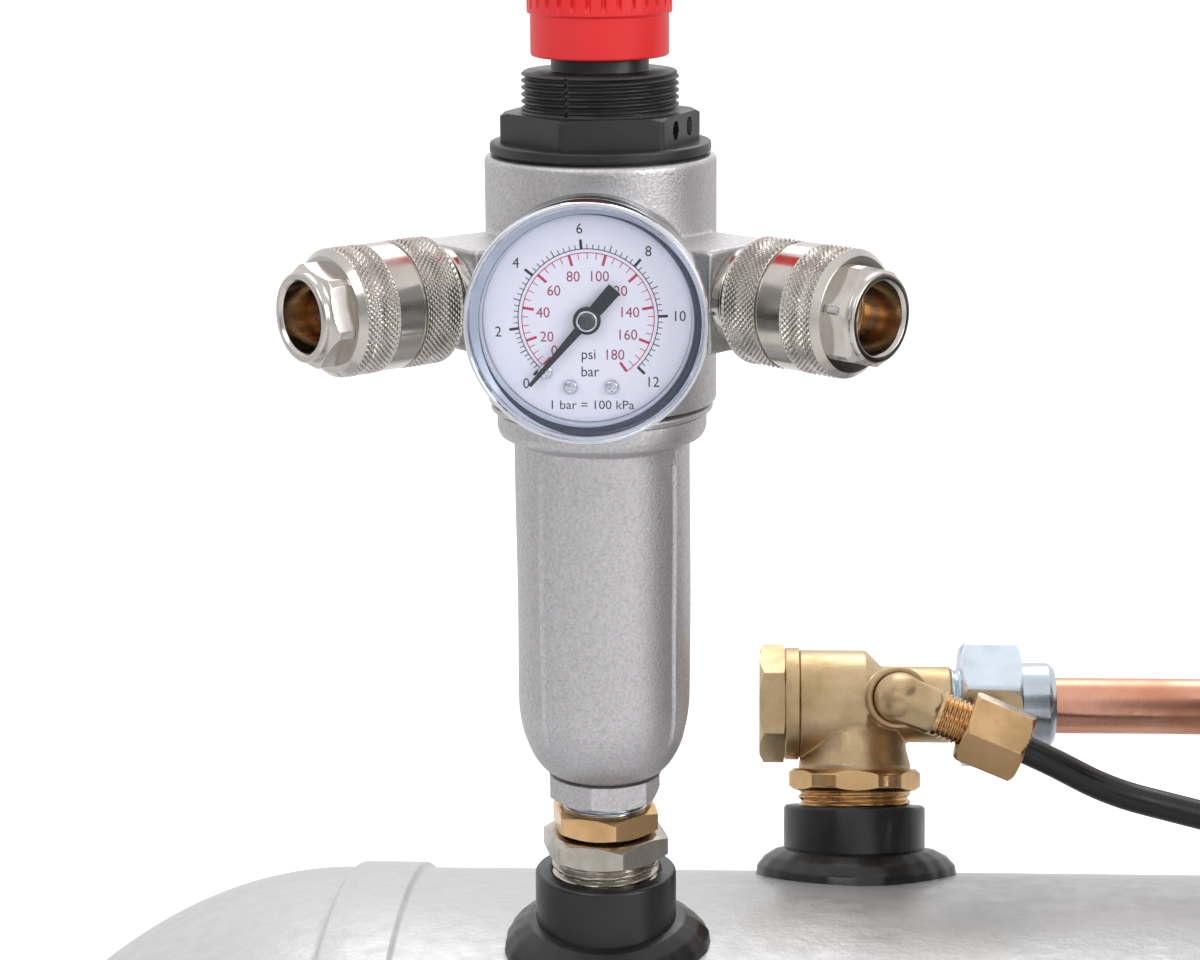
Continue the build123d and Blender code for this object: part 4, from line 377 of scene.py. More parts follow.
# Zinc-plated steel with blue passivation: cold bright silver
BLUE_ZINC = Finish(
    "blue_zinc_plated_steel", "zinc_steel", "#CAD5DE", 0.22, metallic=1.0, stain="#B3BDCB", stain_size=5,
    stain_share=0.5, grain_size=0.7, grain_height=0.012,
)
# Ground steel of shafts and springs
GROUND_STEEL = Finish(
    "ground_steel", "shaft_steel", "#A8A9AB", 0.28, metallic=1.0, stain="#8D8E90", stain_size=10,
    stain_share=0.5, grain_size=0.3, grain_height=0.004,
)
# Drawn copper tube, handled: satin pink metal with brown clouds
DRAWN_COPPER = Finish(
    "drawn_copper", "copper", "#E6AE95", 0.27, metallic=1.0, stain="#C47B5E", stain_size=8, stain_share=0.6,
    grain_size=1.4, grain_height=0.02,
)
# Polished and chromed steel of the gauge case
CHROME = Finish("chromed_steel", "gauge_chrome", "#DADDE3", 0.07, metallic=1.0, rough_spread=0.03)
# Red ABS, moulded with a fine matt texture on its grip
RED_ABS = Finish(
    "red_abs", "red_plastic", "#E8282C", 0.42, stain="#DC2428", stain_size=15, stain_share=0.4,
    grain_size=0.4, grain_height=0.01, specular=0.45,
)
# Black glass-filled nylon of the bonnet: matt grey sheen on its machined-looking faces
BLACK_NYLON = Finish(
    "black_nylon", "black_plastic", "#222224", 0.40, stain="#2F2F31", stain_size=4, stain_share=0.6,
    grain_size=0.35, grain_height=0.012,
)
# Black polyurethane tube: smooth and slightly waxy
BLACK_TUBE = Finish("black_polyurethane", "black_plastic", "#141516", 0.30, grain_size=1.5, grain_height=0.01)
# Black ABS housings with a spark-eroded mould texture
TEXTURED_ABS = Finish(
    "textured_abs", "black_plastic", "#19191B", 0.52, grain_size=0.45, grain_height=0.03, stain="#202023",
    stain_size=20, stain_share=0.5,
)
# Moulded rubber: dull, with bloom
MOULDED_RUBBER = Finish(
    "moulded_rubber", "black_rubber", "#171717", 0.78, stain="#232322", stain_size=14, stain_share=0.6,
    grain_size=0.6, grain_height=0.03,
)
# Solid rubber tyre on a moulded polypropylene wheel
TYRE_RUBBER = Finish(
    "tyre_rubber", "wheel_plastic", "#1A1A1A", 0.7, stain="#262524", stain_size=18, stain_share=0.6,
    grain_size=0.7, grain_height=0.03,
)
# Grey iron barrel under black heat-proof paint
PAINTED_IRON = Finish(
    "heat_proof_paint", "cylinder_iron", "#1E1F21", 0.5, grain_size=0.8, grain_height=0.07, stain="#2B2C2E",
    stain_size=12, stain_share=0.5,
)
# White enamel of the dial, a cool white
DIAL_ENAMEL = Finish("dial_enamel", "dial_white", "#F6F4FA", 0.35, grain_size=0.8, grain_height=0.002)
# Printing ink and black enamel of the pointer
BLACK_INK = Finish("black_ink", "pointer_black", "#15161A", 0.45, grain_size=0.5, grain_height=0.002)
RED_INK = Finish("red_ink", "dial_white", "#C9264F", 0.45, grain_size=0.5, grain_height=0.002)
DARK_RED_INK = Finish("dark_red_ink", "dial_white", "#A13A50", 0.45, grain_size=0.5, grain_height=0.002)
# Clear plastic edge of the window, seen against the chromed cup: bluish and bright
LENS_RIM = Finish("window_edge", "clear_window", "#C9D0DE", 0.20, metallic=0.35, rough_spread=0.05)
# Painted shade under the window's edge: a navy band that stands in for the dark surroundings seen through the
# clear plastic
RIM_PAINTED_SHADE = Finish("rim_gap", "gauge_chrome", "#30364A", 0.16, metallic=0.3, rough_spread=0.05)
# Pressed and plated steel cup behind the bezel: it mirrors the casting above it, and its colour is darkened
# as painted shade for the shadowed crescent between gauge and casting
CUP_STEEL_WITH_PAINTED_SHADE = Finish(
    "pressed_steel", "gauge_chrome", "#A4A5A6", 0.20, metallic=1.0, stain="#8E8F90", stain_size=9
)
# Blued steel of the pointer's hub: dark, with a small bright spot
BLUED_STEEL = Finish("blued_steel", "pointer_black", "#5A5D5B", 0.25, metallic=1.0)
# Machined aluminium of the piston, the rod and the face behind the gauge: bright, with hardly any grain
MACHINED = Finish(
    "machined_aluminium", "piston_aluminium", "#C9CACC", 0.3, metallic=1.0, grain_size=0.4, grain_height=0.006
)
# Clear polycarbonate of the gauge window: it mirrors only at a slant
WINDOW = ClearPlastic("clear_polycarbonate", "clear_window", "#FBFCFF")


def new_object(
    name: str, place: Place, vertices: Grid, faces: Sequence[Sequence[int]], along: Optional[Grid] = None,
) -> Piece:
    """Mesh object from points in a frame's millimetres.

    Args:
        name: Name of the piece.
        place: Frame that the points are in.
        vertices: Points, one row each.
        faces: Corner numbers of each face.
        along: Length along the outline at each point, for turning marks.

    Returns:
        The new object, with its place in its mesh.
    """
    matrix = np.array(place.matrix())
    points = vertices @ matrix[:3, :3].T + matrix[:3, 3]
    mesh = bpy.data.meshes.new(name)
    mesh.from_pydata(points.tolist(), [], faces)
    if along is not None:
        mesh.attributes.new("along", "FLOAT", "POINT").data.foreach_set("value", along.astype(np.float32))
    piece = placed(name, mesh)
    clean(piece)
    return piece


def shaded(mesh: bpy.types.Mesh, sharp_angle: float = SHARP_ANGLE) -> None:
    """Shade a mesh smooth, but keep the edges sharp that turn more than an angle."""
    mesh.shade_smooth()
    mesh.set_sharp_from_angle(angle=math.radians(sharp_angle))


def clean(piece: Piece) -> None:
    """Weld doubled points, turn the faces outward and shade the piece."""
    work = bmesh.new()
    work.from_mesh(piece.data)
    bmesh.ops.remove_doubles(work, verts=work.verts, dist=SMALL / 2)
    bmesh.ops.dissolve_degenerate(work, edges=work.edges, dist=SMALL / 10)
    bmesh.ops.recalc_face_normals(work, faces=work.faces)
    work.to_mesh(piece.data)
    work.free()
    shaded(piece.data)


def softened(points: Sequence[Sequence[float]], closed: bool, radius: float = 0.3) -> Outline:
    """Outline with an arc in each corner.

    Args:
        points: (radius, height) pairs, with the corner's own arc radius as a third value if it differs.
        closed: Whether the last point joins the first.
        radius: Arc radius of the corners that give none.

    Returns:
        The points of the softened outline.
    """
    result: Outline = []
    count = len(points)
    for index, point in enumerate(points):
        here = Vector(point[:2])
        wanted = point[2] if len(point) > 2 else radius
        ends = not closed and index in (0, count - 1)
        before = Vector(points[index - 1][:2]) - here
        after = Vector(points[(index + 1) % count][:2]) - here
        if ends or wanted < SMALL or before.length < SMALL or after.length < SMALL:
            result.append((here.x, here.y))
            continue
        half = before.angle(after) / 2
        if half > math.radians(NEARLY_STRAIGHT):
            result.append((here.x, here.y))
            continue
        reach = min(wanted / math.tan(half), ARC_SHARE * before.length, ARC_SHARE * after.length)
        bend = reach * math.tan(half)
        centre = here + (before.normalized() + after.normalized()).normalized() * (bend / math.sin(half))
        first = here + before.normalized() * reach - centre
        last = here + after.normalized() * reach - centre
        steps = max(2, round(math.degrees(math.pi - 2 * half) / ARC_STEP))
        turn = first.angle_signed(last)
        for step in range(steps + 1):
            spoke = first.copy()
            spoke.rotate(Matrix.Rotation(-turn * step / steps, 2))
            result.append((centre.x + spoke.x, centre.y + spoke.y))
    return result


def refined(outline: Outline, step: float, low: float, high: float, closed: bool = False) -> Outline:
    """Outline with more points between two heights, so that threads and hexagons come out sharp.

    Args:
        outline: The points.
        step: Longest run that stays whole.
        low: Lower height.
        high: Upper height.
        closed: Whether the last point joins the first.

    Returns:
        The refined outline.
    """
    result: Outline = []
    ends = outline[1:] + (outline[:1] if closed else [])
    for start, end in zip(outline, ends):
        result.append(start)
        inside = min(start[1], end[1]) < high and max(start[1], end[1]) > low
        length = math.dist(start, end)
        if inside and length > step:
            pieces = math.ceil(length / step)
            for number in range(1, pieces):
                share = number / pieces
                out = start[0] + (end[0] - start[0]) * share
                result.append((out, start[1] + (end[1] - start[1]) * share))
    if not closed:
        result.append(outline[-1])
    return result


def turned(
    name: str, place: Place, outline: Outline, segments: int = 128, shape: Optional[Shape] = None,
    settle: Optional[Settle] = None, closed: bool = True,
) -> Piece:
    """Piece turned about its frame's Z.

    Args:
        name: Name of the piece.
        place: Its frame.
        outline: (radius, height) points.
        segments: Points around.
        shape: Changes radius and height by place, for threads, knurls and hexagons.
        settle: Height added by place across the axis, for beads that follow a round wall.
        closed: Whether the last point joins the first.

    Returns:
        The new object.
    """
    profile = np.array(outline, float)
    angles = np.arange(segments) * 2 * math.pi / segments
    radii = np.repeat(profile[:, :1], segments, axis=1)
    heights = np.repeat(profile[:, 1:], segments, axis=1)
    lengths = np.concatenate([[0], np.cumsum(np.hypot(*np.diff(profile, axis=0).T))])
    if shape is not None:
        radii, heights = shape(radii, heights, np.repeat(angles[None, :], len(profile), axis=0))
    x = radii * np.cos(angles)
    y = radii * np.sin(angles)
    z = heights if settle is None else heights + settle(x, y)
    rows = len(profile)
    last = rows if closed else rows - 1
    number = np.arange(rows * segments).reshape(rows, segments)
    low = number[np.arange(last)]
    high = number[(np.arange(last) + 1) % rows]
    faces = np.stack([low, np.roll(low, -1, 1), np.roll(high, -1, 1), high], axis=-1).reshape(-1, 4)
    vertices = np.stack([x, y, z], axis=-1).reshape(-1, 3)
    return new_object(name, place, vertices, faces.tolist(), np.repeat(lengths, segments))


def solid(
    name: str, place: Place, points: Sequence[Sequence[float]], segments: int, edge: float = 0.3,
) -> Piece:
    """Full turned piece whose outline starts and ends on its frame's Z.

    Args:
        name: Name of the piece.
        place: Its frame.
        points: (radius, height) corners, as for softened.
        segments: Points around.
        edge: Arc radius of the corners that give none.

    Returns:
        The new object.
    """
    return turned(name, place, softened(points, False, edge), segments, closed=False)


def faded(heights: Grid, low: float, high: float, start: float, end: float) -> Grid:
    """Share that is 1 between two heights and falls to 0 towards them.

    Args:
        heights: Height of each point.
        low: Lower height.
        high: Upper height.
        start: Run over which it rises at the lower height.
        end: Run over which it falls at the upper height.

    Returns:
        The share at each point.
    """
    return np.clip((heights - low) / start, 0, 1) * np.clip((high - heights) / end, 0, 1)


def away_from(angles: Grid, bearing: float) -> Grid:
    """Angles from a bearing in degrees, at most half a turn to each side."""
    return np.angle(np.exp(1j * (angles - math.radians(bearing))))


def hexagonal(flats: float, turn: float, low: float, high: float, sharpness: float = 90.0) -> Shape:
    """Shape that cuts a turned blank to a hexagon between two heights.

    Args:
        flats: Width across flats.
        turn: Angle of one corner.
        low: Lower height.
        high: Upper height.
        sharpness: Larger is sharper.

    Returns:
        The shape.
    """
    def shape(radii: Grid, heights: Grid, angles: Grid) -> tuple[Grid, Grid]:
        total = np.zeros_like(angles)
        for side in range(6):
            middle_angle = math.radians(turn + 30 + 60 * side)
            total += np.clip(np.cos(angles - middle_angle), 0, 1) ** sharpness
        limit = flats / 2 / total ** (1 / sharpness)
        inside = (heights > low - SMALL) & (heights < high + SMALL) & (radii > flats * 0.35)
        return np.where(inside, np.minimum(radii, limit), radii), heights
    return shape


def threaded(pitch: float, depth: float, low: float, high: float, least: float = 0.0) -> Shape:
    """Shape that cuts a thread into the outside between two heights.

    Args:
        pitch: Distance from crest to crest.
        depth: Depth of the thread.
        low: Lower height.
        high: Upper height.
        least: Smallest radius that is cut.

    Returns:
        The shape.
    """
    def shape(radii: Grid, heights: Grid, angles: Grid) -> tuple[Grid, Grid]:
        phase = np.mod(heights / pitch - angles / (2 * math.pi), 1)
        tooth = np.clip(np.abs(phase * 2 - 1) * 1.5 - 0.25, 0, 1)
        inside = (heights > low) & (heights < high) & (radii > least)
        fade = faded(heights, low, high, pitch / 2, pitch / 2)
        return np.where(inside, radii - depth * tooth * fade, radii), heights
    return shape


def knurled(
    count: int, pitch: float, depth: float, bands: Sequence[tuple[float, float]], least: float,
) -> Shape:
    """Shape that rolls a diamond knurl into bands of the outside.

    Args:
        count: Diamonds around.
        pitch: Height of one diamond.
        depth: Depth of the grooves.
        bands: Low and high end of each band.
        least: Smallest radius that is cut.

    Returns:
        The shape.
    """
    def shape(radii: Grid, heights: Grid, angles: Grid) -> tuple[Grid, Grid]:
        around = angles * count / (2 * math.pi)
        grooves = []
        for sense in (-1, 1):
            grooves.append(np.abs(np.mod(around + sense * heights / pitch, 1) * 2 - 1))
        sunk = np.clip(np.maximum(*grooves) * 1.12 - 0.12, 0, 1)
        cut = np.zeros_like(radii)
        for low, high in bands:
            cut = np.maximum(cut, faded(heights, low, high, KNURL_FADE, KNURL_FADE))
        return np.where(radii > least, radii - depth * sunk * cut, radii), heights
    return shape


def chained(*shapes: Shape) -> Shape:
    """Shape that does several shapes one after the other."""
    def shape(radii: Grid, heights: Grid, angles: Grid) -> tuple[Grid, Grid]:
        for one in shapes:
            radii, heights = one(radii, heights, angles)
        return radii, heights
    return shape


def joined(name: str, pieces: Sequence[Piece]) -> Piece:
    """One object from several, which are gone afterwards."""
    work = bmesh.new()
    for piece in pieces:
        work.from_mesh(piece.data)
        bpy.data.objects.remove(piece)
    mesh = bpy.data.meshes.new(name)
    work.to_mesh(mesh)
    work.free()
    result = placed(name, mesh)
    shaded(mesh)
    return result


def baked(piece: Piece) -> Piece:
    """The object with its modifiers applied to its mesh."""
    graph = bpy.context.evaluated_depsgraph_get()
    mesh = bpy.data.meshes.new_from_object(piece.evaluated_get(graph))
    piece.modifiers.clear()
    piece.data = mesh
    return piece


def melted(name: str, pieces: Sequence[Piece], voxel: float, rounds: int) -> Piece:
    """Overlapping closed pieces flowed into one skin, as in a casting or forging.

    Args:
        name: Name of the result.
        pieces: The pieces, which are gone afterwards.
        voxel: Size of the skin's mesh.
        rounds: How often the skin is smoothed.

    Returns:
        The new object.
    """
    result = joined(name, pieces)
    remesh = result.modifiers.new("skin", "REMESH")
    remesh.mode = "VOXEL"
    remesh.voxel_size = voxel * MM
    smooth = result.modifiers.new("flow", "SMOOTH")
    smooth.factor = 0.5
    smooth.iterations = rounds
    baked(result)
    result.data.shade_smooth()
    return result


def block(name: str, place: Place, low: Sequence[float], high: Sequence[float], edge: float = 0.8) -> Piece:
    """Box between two corners, with its edges rounded.

    Args:
        name: Name of the piece.
        place: Its frame.
        low: Lowest corner in millimetres.
        high: Highest corner in millimetres.
        edge: Radius of the edges.

    Returns:
        The new object.
    """
    spans = [(low[axis], high[axis]) for axis in range(3)]
    corners = np.array([[x, y, z] for z in spans[2] for y in spans[1] for x in spans[0]])
    faces = [(0, 2, 3, 1), (4, 5, 7, 6), (0, 1, 5, 4), (2, 6, 7, 3), (0, 4, 6, 2), (1, 3, 7, 5)]
    piece = new_object(name, place, corners.astype(float), faces)
    bevel = piece.modifiers.new("edge", "BEVEL")
    bevel.width = edge * MM
    bevel.segments = 3
    baked(piece)
    clean(piece)
    return piece


def finished(piece: Piece, finish: "Finish | ClearPlastic", body: str, *nodes: str) -> Piece:
    """Give a new piece its finish, its body and the solids that it stands for.

    Args:
        piece: The new piece.
        finish: Its finish.
        body: Body that it moves with.
        *nodes: Solids that it replaces.

    Returns:
        The piece.
    """
    piece.data.materials.clear()
    piece.data.materials.append(finish.build())
    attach(piece, body)
    if nodes:
        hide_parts(*nodes)
    LOG.info("made %s, %d faces, on %s", piece.name, len(piece.data.polygons), body)
    return piece


def swept(name: str, points: Sequence[Vector], radius: float, segments: int = 48) -> Piece:
    """Round bar along a line of points.

    Args:
        name: Name of the piece.
        points: Points of the middle line in metres.
        radius: Radius in millimetres.
        segments: Points around.

    Returns:
        The new object.
    """
    rings = []
    side = None
    for index, point in enumerate(points):
        ahead = points[min(index + 1, len(points) - 1)] - points[max(index - 1, 0)]
        ahead.normalize()
        if side is None:
            side = ahead.cross(Y_AXIS if abs(ahead.y) < 0.9 else Z_AXIS)
        side = (side - ahead * side.dot(ahead)).normalized()
        up = ahead.cross(side)
        for number in range(segments):
            angle = 2 * math.pi * number / segments
            rings.append(point + (side * math.cos(angle) + up * math.sin(angle)) * radius * MM)
    count = len(points)
    faces = []
    for row in range(count - 1):
        for number in range(segments):
            after = (number + 1) % segments
            low, high = row * segments, (row + 1) * segments
            faces.append((low + number, low + after, high + after, high + number))
    faces.append(tuple(range(segments)))
    faces.append(tuple(range((count - 1) * segments, count * segments)))
    flat = Place(Vector((0, 0, 0)), X_AXIS, Z_AXIS)
    vertices = np.array([[value / MM for value in point] for point in rings])
    return new_object(name, flat, vertices, faces)


def rounded_route(corners: Sequence[Vector], radius: float, step: float = 6.0) -> list[Vector]:
    """Points along straight runs with an arc at each corner.

    Args:
        corners: Corner points in metres.
        radius: Bend radius in millimetres.
        step: Degrees from point to point in an arc.

    Returns:
        Points in metres.
    """
    route = [corners[0]]
    for before, here, after in zip(corners, corners[1:], corners[2:]):
        first = (before - here).normalized()
        last = (after - here).normalized()
        half = first.angle(last) / 2
        reach = radius * MM / math.tan(half)
        centre = here + (first + last).normalized() * (radius * MM / math.sin(half))
        start = here + first * reach - centre
        finish = here + last * reach - centre
        sweep = start.angle(finish)
        count = max(2, round(math.degrees(sweep) / step))
        for number in range(count + 1):
            share = number / count
            spoke = start * math.sin((1 - share) * sweep) + finish * math.sin(share * sweep)
            route.append(centre + spoke / math.sin(sweep))
    route.append(corners[-1])
    return route


def lettering(
    name: str, text: str, place: Place, x: float, y: float, height: float, narrow: float = 0.94,
) -> Piece:
    """Printed letters as a thin mesh, centred at a point of a frame's XY plane.

    Args:
        name: Name of the piece.
        text: What is printed.
        place: Frame of the print.
        x: Middle of the text.
        y: Middle of the text's capitals.
        height: Height of the capitals.
        narrow: Width share of the letters.

    Returns:
        The new object.
    """
    curve = bpy.data.curves.new(name, "FONT")
    curve.body = text
    curve.size = height / CAPITAL_SHARE
    curve.align_x = "CENTER"
    curve.extrude = LETTER_HEIGHT
    curve.resolution_u = 4
    writing = placed(name, curve)
    graph = bpy.context.evaluated_depsgraph_get()
    mesh = bpy.data.meshes.new_from_object(writing.evaluated_get(graph))
    bpy.data.objects.remove(writing)
    spread = Matrix.Diagonal((narrow, 1, 1, 1))
    mesh.transform(place.matrix() @ Matrix.Translation((x, y - height / 2, 0)) @ spread)
    return placed(name, mesh)


def plate(name: str, place: Place, corners: Sequence[Sequence[float]], thickness: float) -> Piece:
    """Thin flat piece with a given outline in a frame's XY plane.

    Args:
        name: Name of the piece.
        place: Its frame.
        corners: (x, y) points in order.
        thickness: Height above the plane.

    Returns:
        The new object.
    """
    count = len(corners)
    vertices = [[x, y, 0.0] for x, y in corners] + [[x, y, thickness] for x, y in corners]
    faces: list[tuple[int, ...]] = [tuple(range(count))[::-1], tuple(range(count, 2 * count))]
    for number in range(count):
        after = (number + 1) % count
        faces.append((number, after, count + after, count + number))
    return new_object(name, place, np.array(vertices), faces)


def pruned_copy(node: str, edge: float) -> Piece:
    """Copy of a solid with its sharp edges broken, as a tool or a mould leaves them.

    Args:
        node: Name of the solid.
        edge: Width of the broken edge.

    Returns:
        The new object.
    """
    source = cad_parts[node]
    piece = placed(node + "_shown", source.data.copy())
    work = bmesh.new()
    work.from_mesh(piece.data)
    bmesh.ops.remove_doubles(work, verts=work.verts, dist=SMALL * 2)
    flat = math.radians(FLAT_ANGLE)
    bmesh.ops.dissolve_limit(work, angle_limit=flat, verts=work.verts, edges=work.edges)
    work.to_mesh(piece.data)
    work.free()
    bevel = piece.modifiers.new("edge", "BEVEL")
    bevel.width = edge * MM
    bevel.segments = 2
    bevel.limit_method = "ANGLE"
    bevel.angle_limit = math.radians(BREAK_ANGLE)
    bevel.use_clamp_overlap = True
    baked(piece)
    shaded(piece.data, BROKEN_EDGE_ANGLE)
    return piece


@dataclass(frozen=True)
class Station:
    """Places of the sub-assemblies, read from the solids."""

    tank_radius: float = 150.0
    bowl_foot: float = 30.1
    port_height: float = 132.6
    port_angle: float = 48.6
    port_reach: float = 35.4
    gauge_height: float = 133.7
    check_offset: float = 50.85
    check_tilt: float = 18.0
    switch_offset: float = 163.0
    switch_forward: float = 60.0

    def tank(self) -> Place:
        """Frame in the middle of the tank, with Z along it."""
        return Place(middle("tank"), Z_AXIS, X_AXIS)

    def outlet(self) -> Place:
        """Frame on the tank's wall under the regulator."""
        centre = middle("filter_bowl")
        foot = node_box("filter_bowl")[0].z - self.bowl_foot * MM
        return Place(Vector((centre.x, centre.y, foot)), X_AXIS, Z_AXIS)

    def port(self, side: Side) -> Place:
        """Frame in the regulator's middle, with Z out of one port."""
        bearing = math.radians(self.port_angle * side.value)
        ahead = (math.sin(bearing), -math.cos(bearing), 0)
        return self.outlet().inner((0, 0, self.port_height), (0, 0, 1), ahead)

    def gauge(self) -> Place:
        """Frame in the regulator's middle, with Z out of the gauge towards the viewer."""
        return self.outlet().inner((0, 0, self.gauge_height), (1, 0, 0), (0, -1, 0))

    def check(self) -> Place:
        """Frame on the tank's wall under the check valve, square to the wall."""
        tilt = math.radians(self.check_tilt)
        up = Vector((0, math.sin(tilt), math.cos(tilt)))
        centre = middle("tank")
        centre.x = self.outlet().origin.x + self.check_offset * MM
        return Place(centre + up * self.tank_radius * MM, X_AXIS, up)

    def switch(self) -> Place:
        """Frame on the tank's wall under the pressure switch."""
        centre = middle("tank")
        side = self.switch_forward
        rise = math.sqrt(self.tank_radius ** 2 - side ** 2)
        x = self.outlet().origin.x + self.switch_offset * MM
        return Place(Vector((x, -side * MM, centre.z + rise * MM)), X_AXIS, Z_AXIS)


@dataclass
class Tank:
    """Welded air tank: a rolled shell lapped over two pressed heads, and its sockets."""

    station: Station
    seam_from_middle: float = 275.0
    seam_width: float = 13.5
    seam_proud: float = 1.2
    seam_slope: float = 0.8
    head_depth: float = 105.0
    head_start: float = 283.75
    socket_wall: float = 3.3
    bead_reach: float = 6.4
    bead_height: float = 5.0
    bead_lumps: int = 23

    def build(self) -> None:
        """Make the shell and every socket."""
        self._shell()
        wall = self.station.tank_radius
        switch_height = self._height_of_switch()
        sockets = [
            self._socket("outlet", self.station.outlet(), 13.75, 15.3, 9.4, vertical=True),
            self._socket("check", self.station.check(), 15.15, 14.5, 0.0, vertical=True),
            self._socket("switch", self.station.switch(), 11.0, switch_height, 60.0, vertical=True),
        ]
        under = middle("tank")
        under.z -= wall * MM
        drain = Place(under, X_AXIS, -Z_AXIS)
        low = node_box("tank_bosses")[0].z
        sockets.append(self._socket("drain", drain, 11.0, (under.z - low) / MM, 0.0, vertical=True))
        end = middle("tank")
        end.x = node_box("tank")[1].x
        plug_place = Place(end, Y_AXIS, X_AXIS)
        sockets.append(self._socket("inspection", plug_place, 19.0, 9.0, 0.0, vertical=False))
        sockets.append(self._plug(plug_place))
        shown = joined("sockets_with_welds", sockets)
        finished(shown, BLACK_ENAMEL, STATIC, "tank_bosses")

    def _shell(self) -> None:
        """Shell and heads in one painted skin."""
        radius = self.station.tank_radius
        quarter = []
        steps = 60
        for step in range(steps + 1):
            turn = math.radians(90 * step / steps)
            quarter.append((radius * math.sin(turn), self.head_start + self.head_depth * math.cos(turn)))
        band = self.seam_from_middle + self.seam_width / 2
        inner = self.seam_from_middle - self.seam_width / 2
        proud = radius + self.seam_proud
        edge = softened(
            [
                (radius, self.head_start),
                (radius, band + self.seam_slope, 0.9),
                (proud, band, 0.7),
                (proud, inner, 0.7),
                (radius, inner - self.seam_slope, 0.9),
                (radius, 0),
            ],
            closed=False,
        )
        half = quarter[:-1] + edge
        outline = half + [(r, -z) for r, z in reversed(half[:-1])]
        shell = turned("tank_shell", self.station.tank(), outline, 288, closed=False)
        finished(shell, TANK_ENAMEL, STATIC, "tank")

    def _height_of_switch(self) -> float:
        """Height of the socket under the manifold."""
        return (node_box("manifold")[0].z - self.station.switch().origin.z) / MM + 3.0

    def _socket(
        self, name: str, place: Place, radius: float, height: float, aside: float, vertical: bool,
    ) -> Piece:
        """Threaded socket with its weld bead.

        Args:
            name: Name of the socket.
            place: Its frame on the wall.
            radius: Outer radius.
            height: Height over the wall.
            aside: How far it stands beside the tank's middle plane.
            vertical: True on the shell, False on a head.

        Returns:
            The painted socket and bead as one object.
        """
        wall = self.station.tank_radius
        bore = radius - self.socket_wall
        ring = softened(
            [
                (bore, -1), (radius, -1), (radius, height, 0.8), (bore + 0.6, height, 0.3),
                (bore, height - 0.6, 0.3),
            ],
            True,
        )
        barrel = turned(name + "_barrel", place, ring, 144)

        def settle(x: Grid, y: Grid) -> Grid:
            if not vertical:
                return -(x ** 2 + y ** 2) * self.head_depth / (2 * wall ** 2)
            return np.sqrt(wall ** 2 - (y - aside) ** 2) - math.sqrt(wall ** 2 - aside ** 2)

        def lumps(radii: Grid, heights: Grid, angles: Grid) -> tuple[Grid, Grid]:
            outer = np.clip((radii - radius) / self.bead_reach, 0, 1)
            wave = np.sin(angles * self.bead_lumps + 0.7 * np.sin(angles * 3 + 1)) * 0.07
            wander = 0.45 * np.sin(angles * 5 + 2) + 0.3 * np.sin(angles * 2 + 0.6)
            rise = outer * (wave * 0.8 + 0.25 * wander) * (heights > 0)
            return radii + outer * (wave + wander), heights + rise

        reach = radius + self.bead_reach
        tall = self.bead_height
        bead = softened(
            [
                (radius - 0.4, -2),
                (radius - 0.4, tall + 0.6, 0.2),
                (radius + 1.6, tall + 0.2, 1.0),
                (reach - 2.2, tall - 1.3, 1.6),
                (reach - 0.5, 1.7, 0.9),
                (reach, -2),
            ],
            True,
        )
        weld = turned(name + "_weld", place, refined(bead, 0.8, -3, 9, True), 216, lumps, settle)
        return joined(name + "_socket", [barrel, weld])

    def _plug(self, place: Place) -> Piece:
        """Hexagonal inspection plug."""
        outline = softened([(0, 4), (13, 4), (13, 9.2), (15.6, 9.2), (15.6, 14.6), (14, 16), (0, 16)], False)
        rows = refined(outline, 0.5, 9, 16)
        return turned("inspection_plug", place, rows, 180, hexagonal(27, 0, 9.1, 16.1), closed=False)


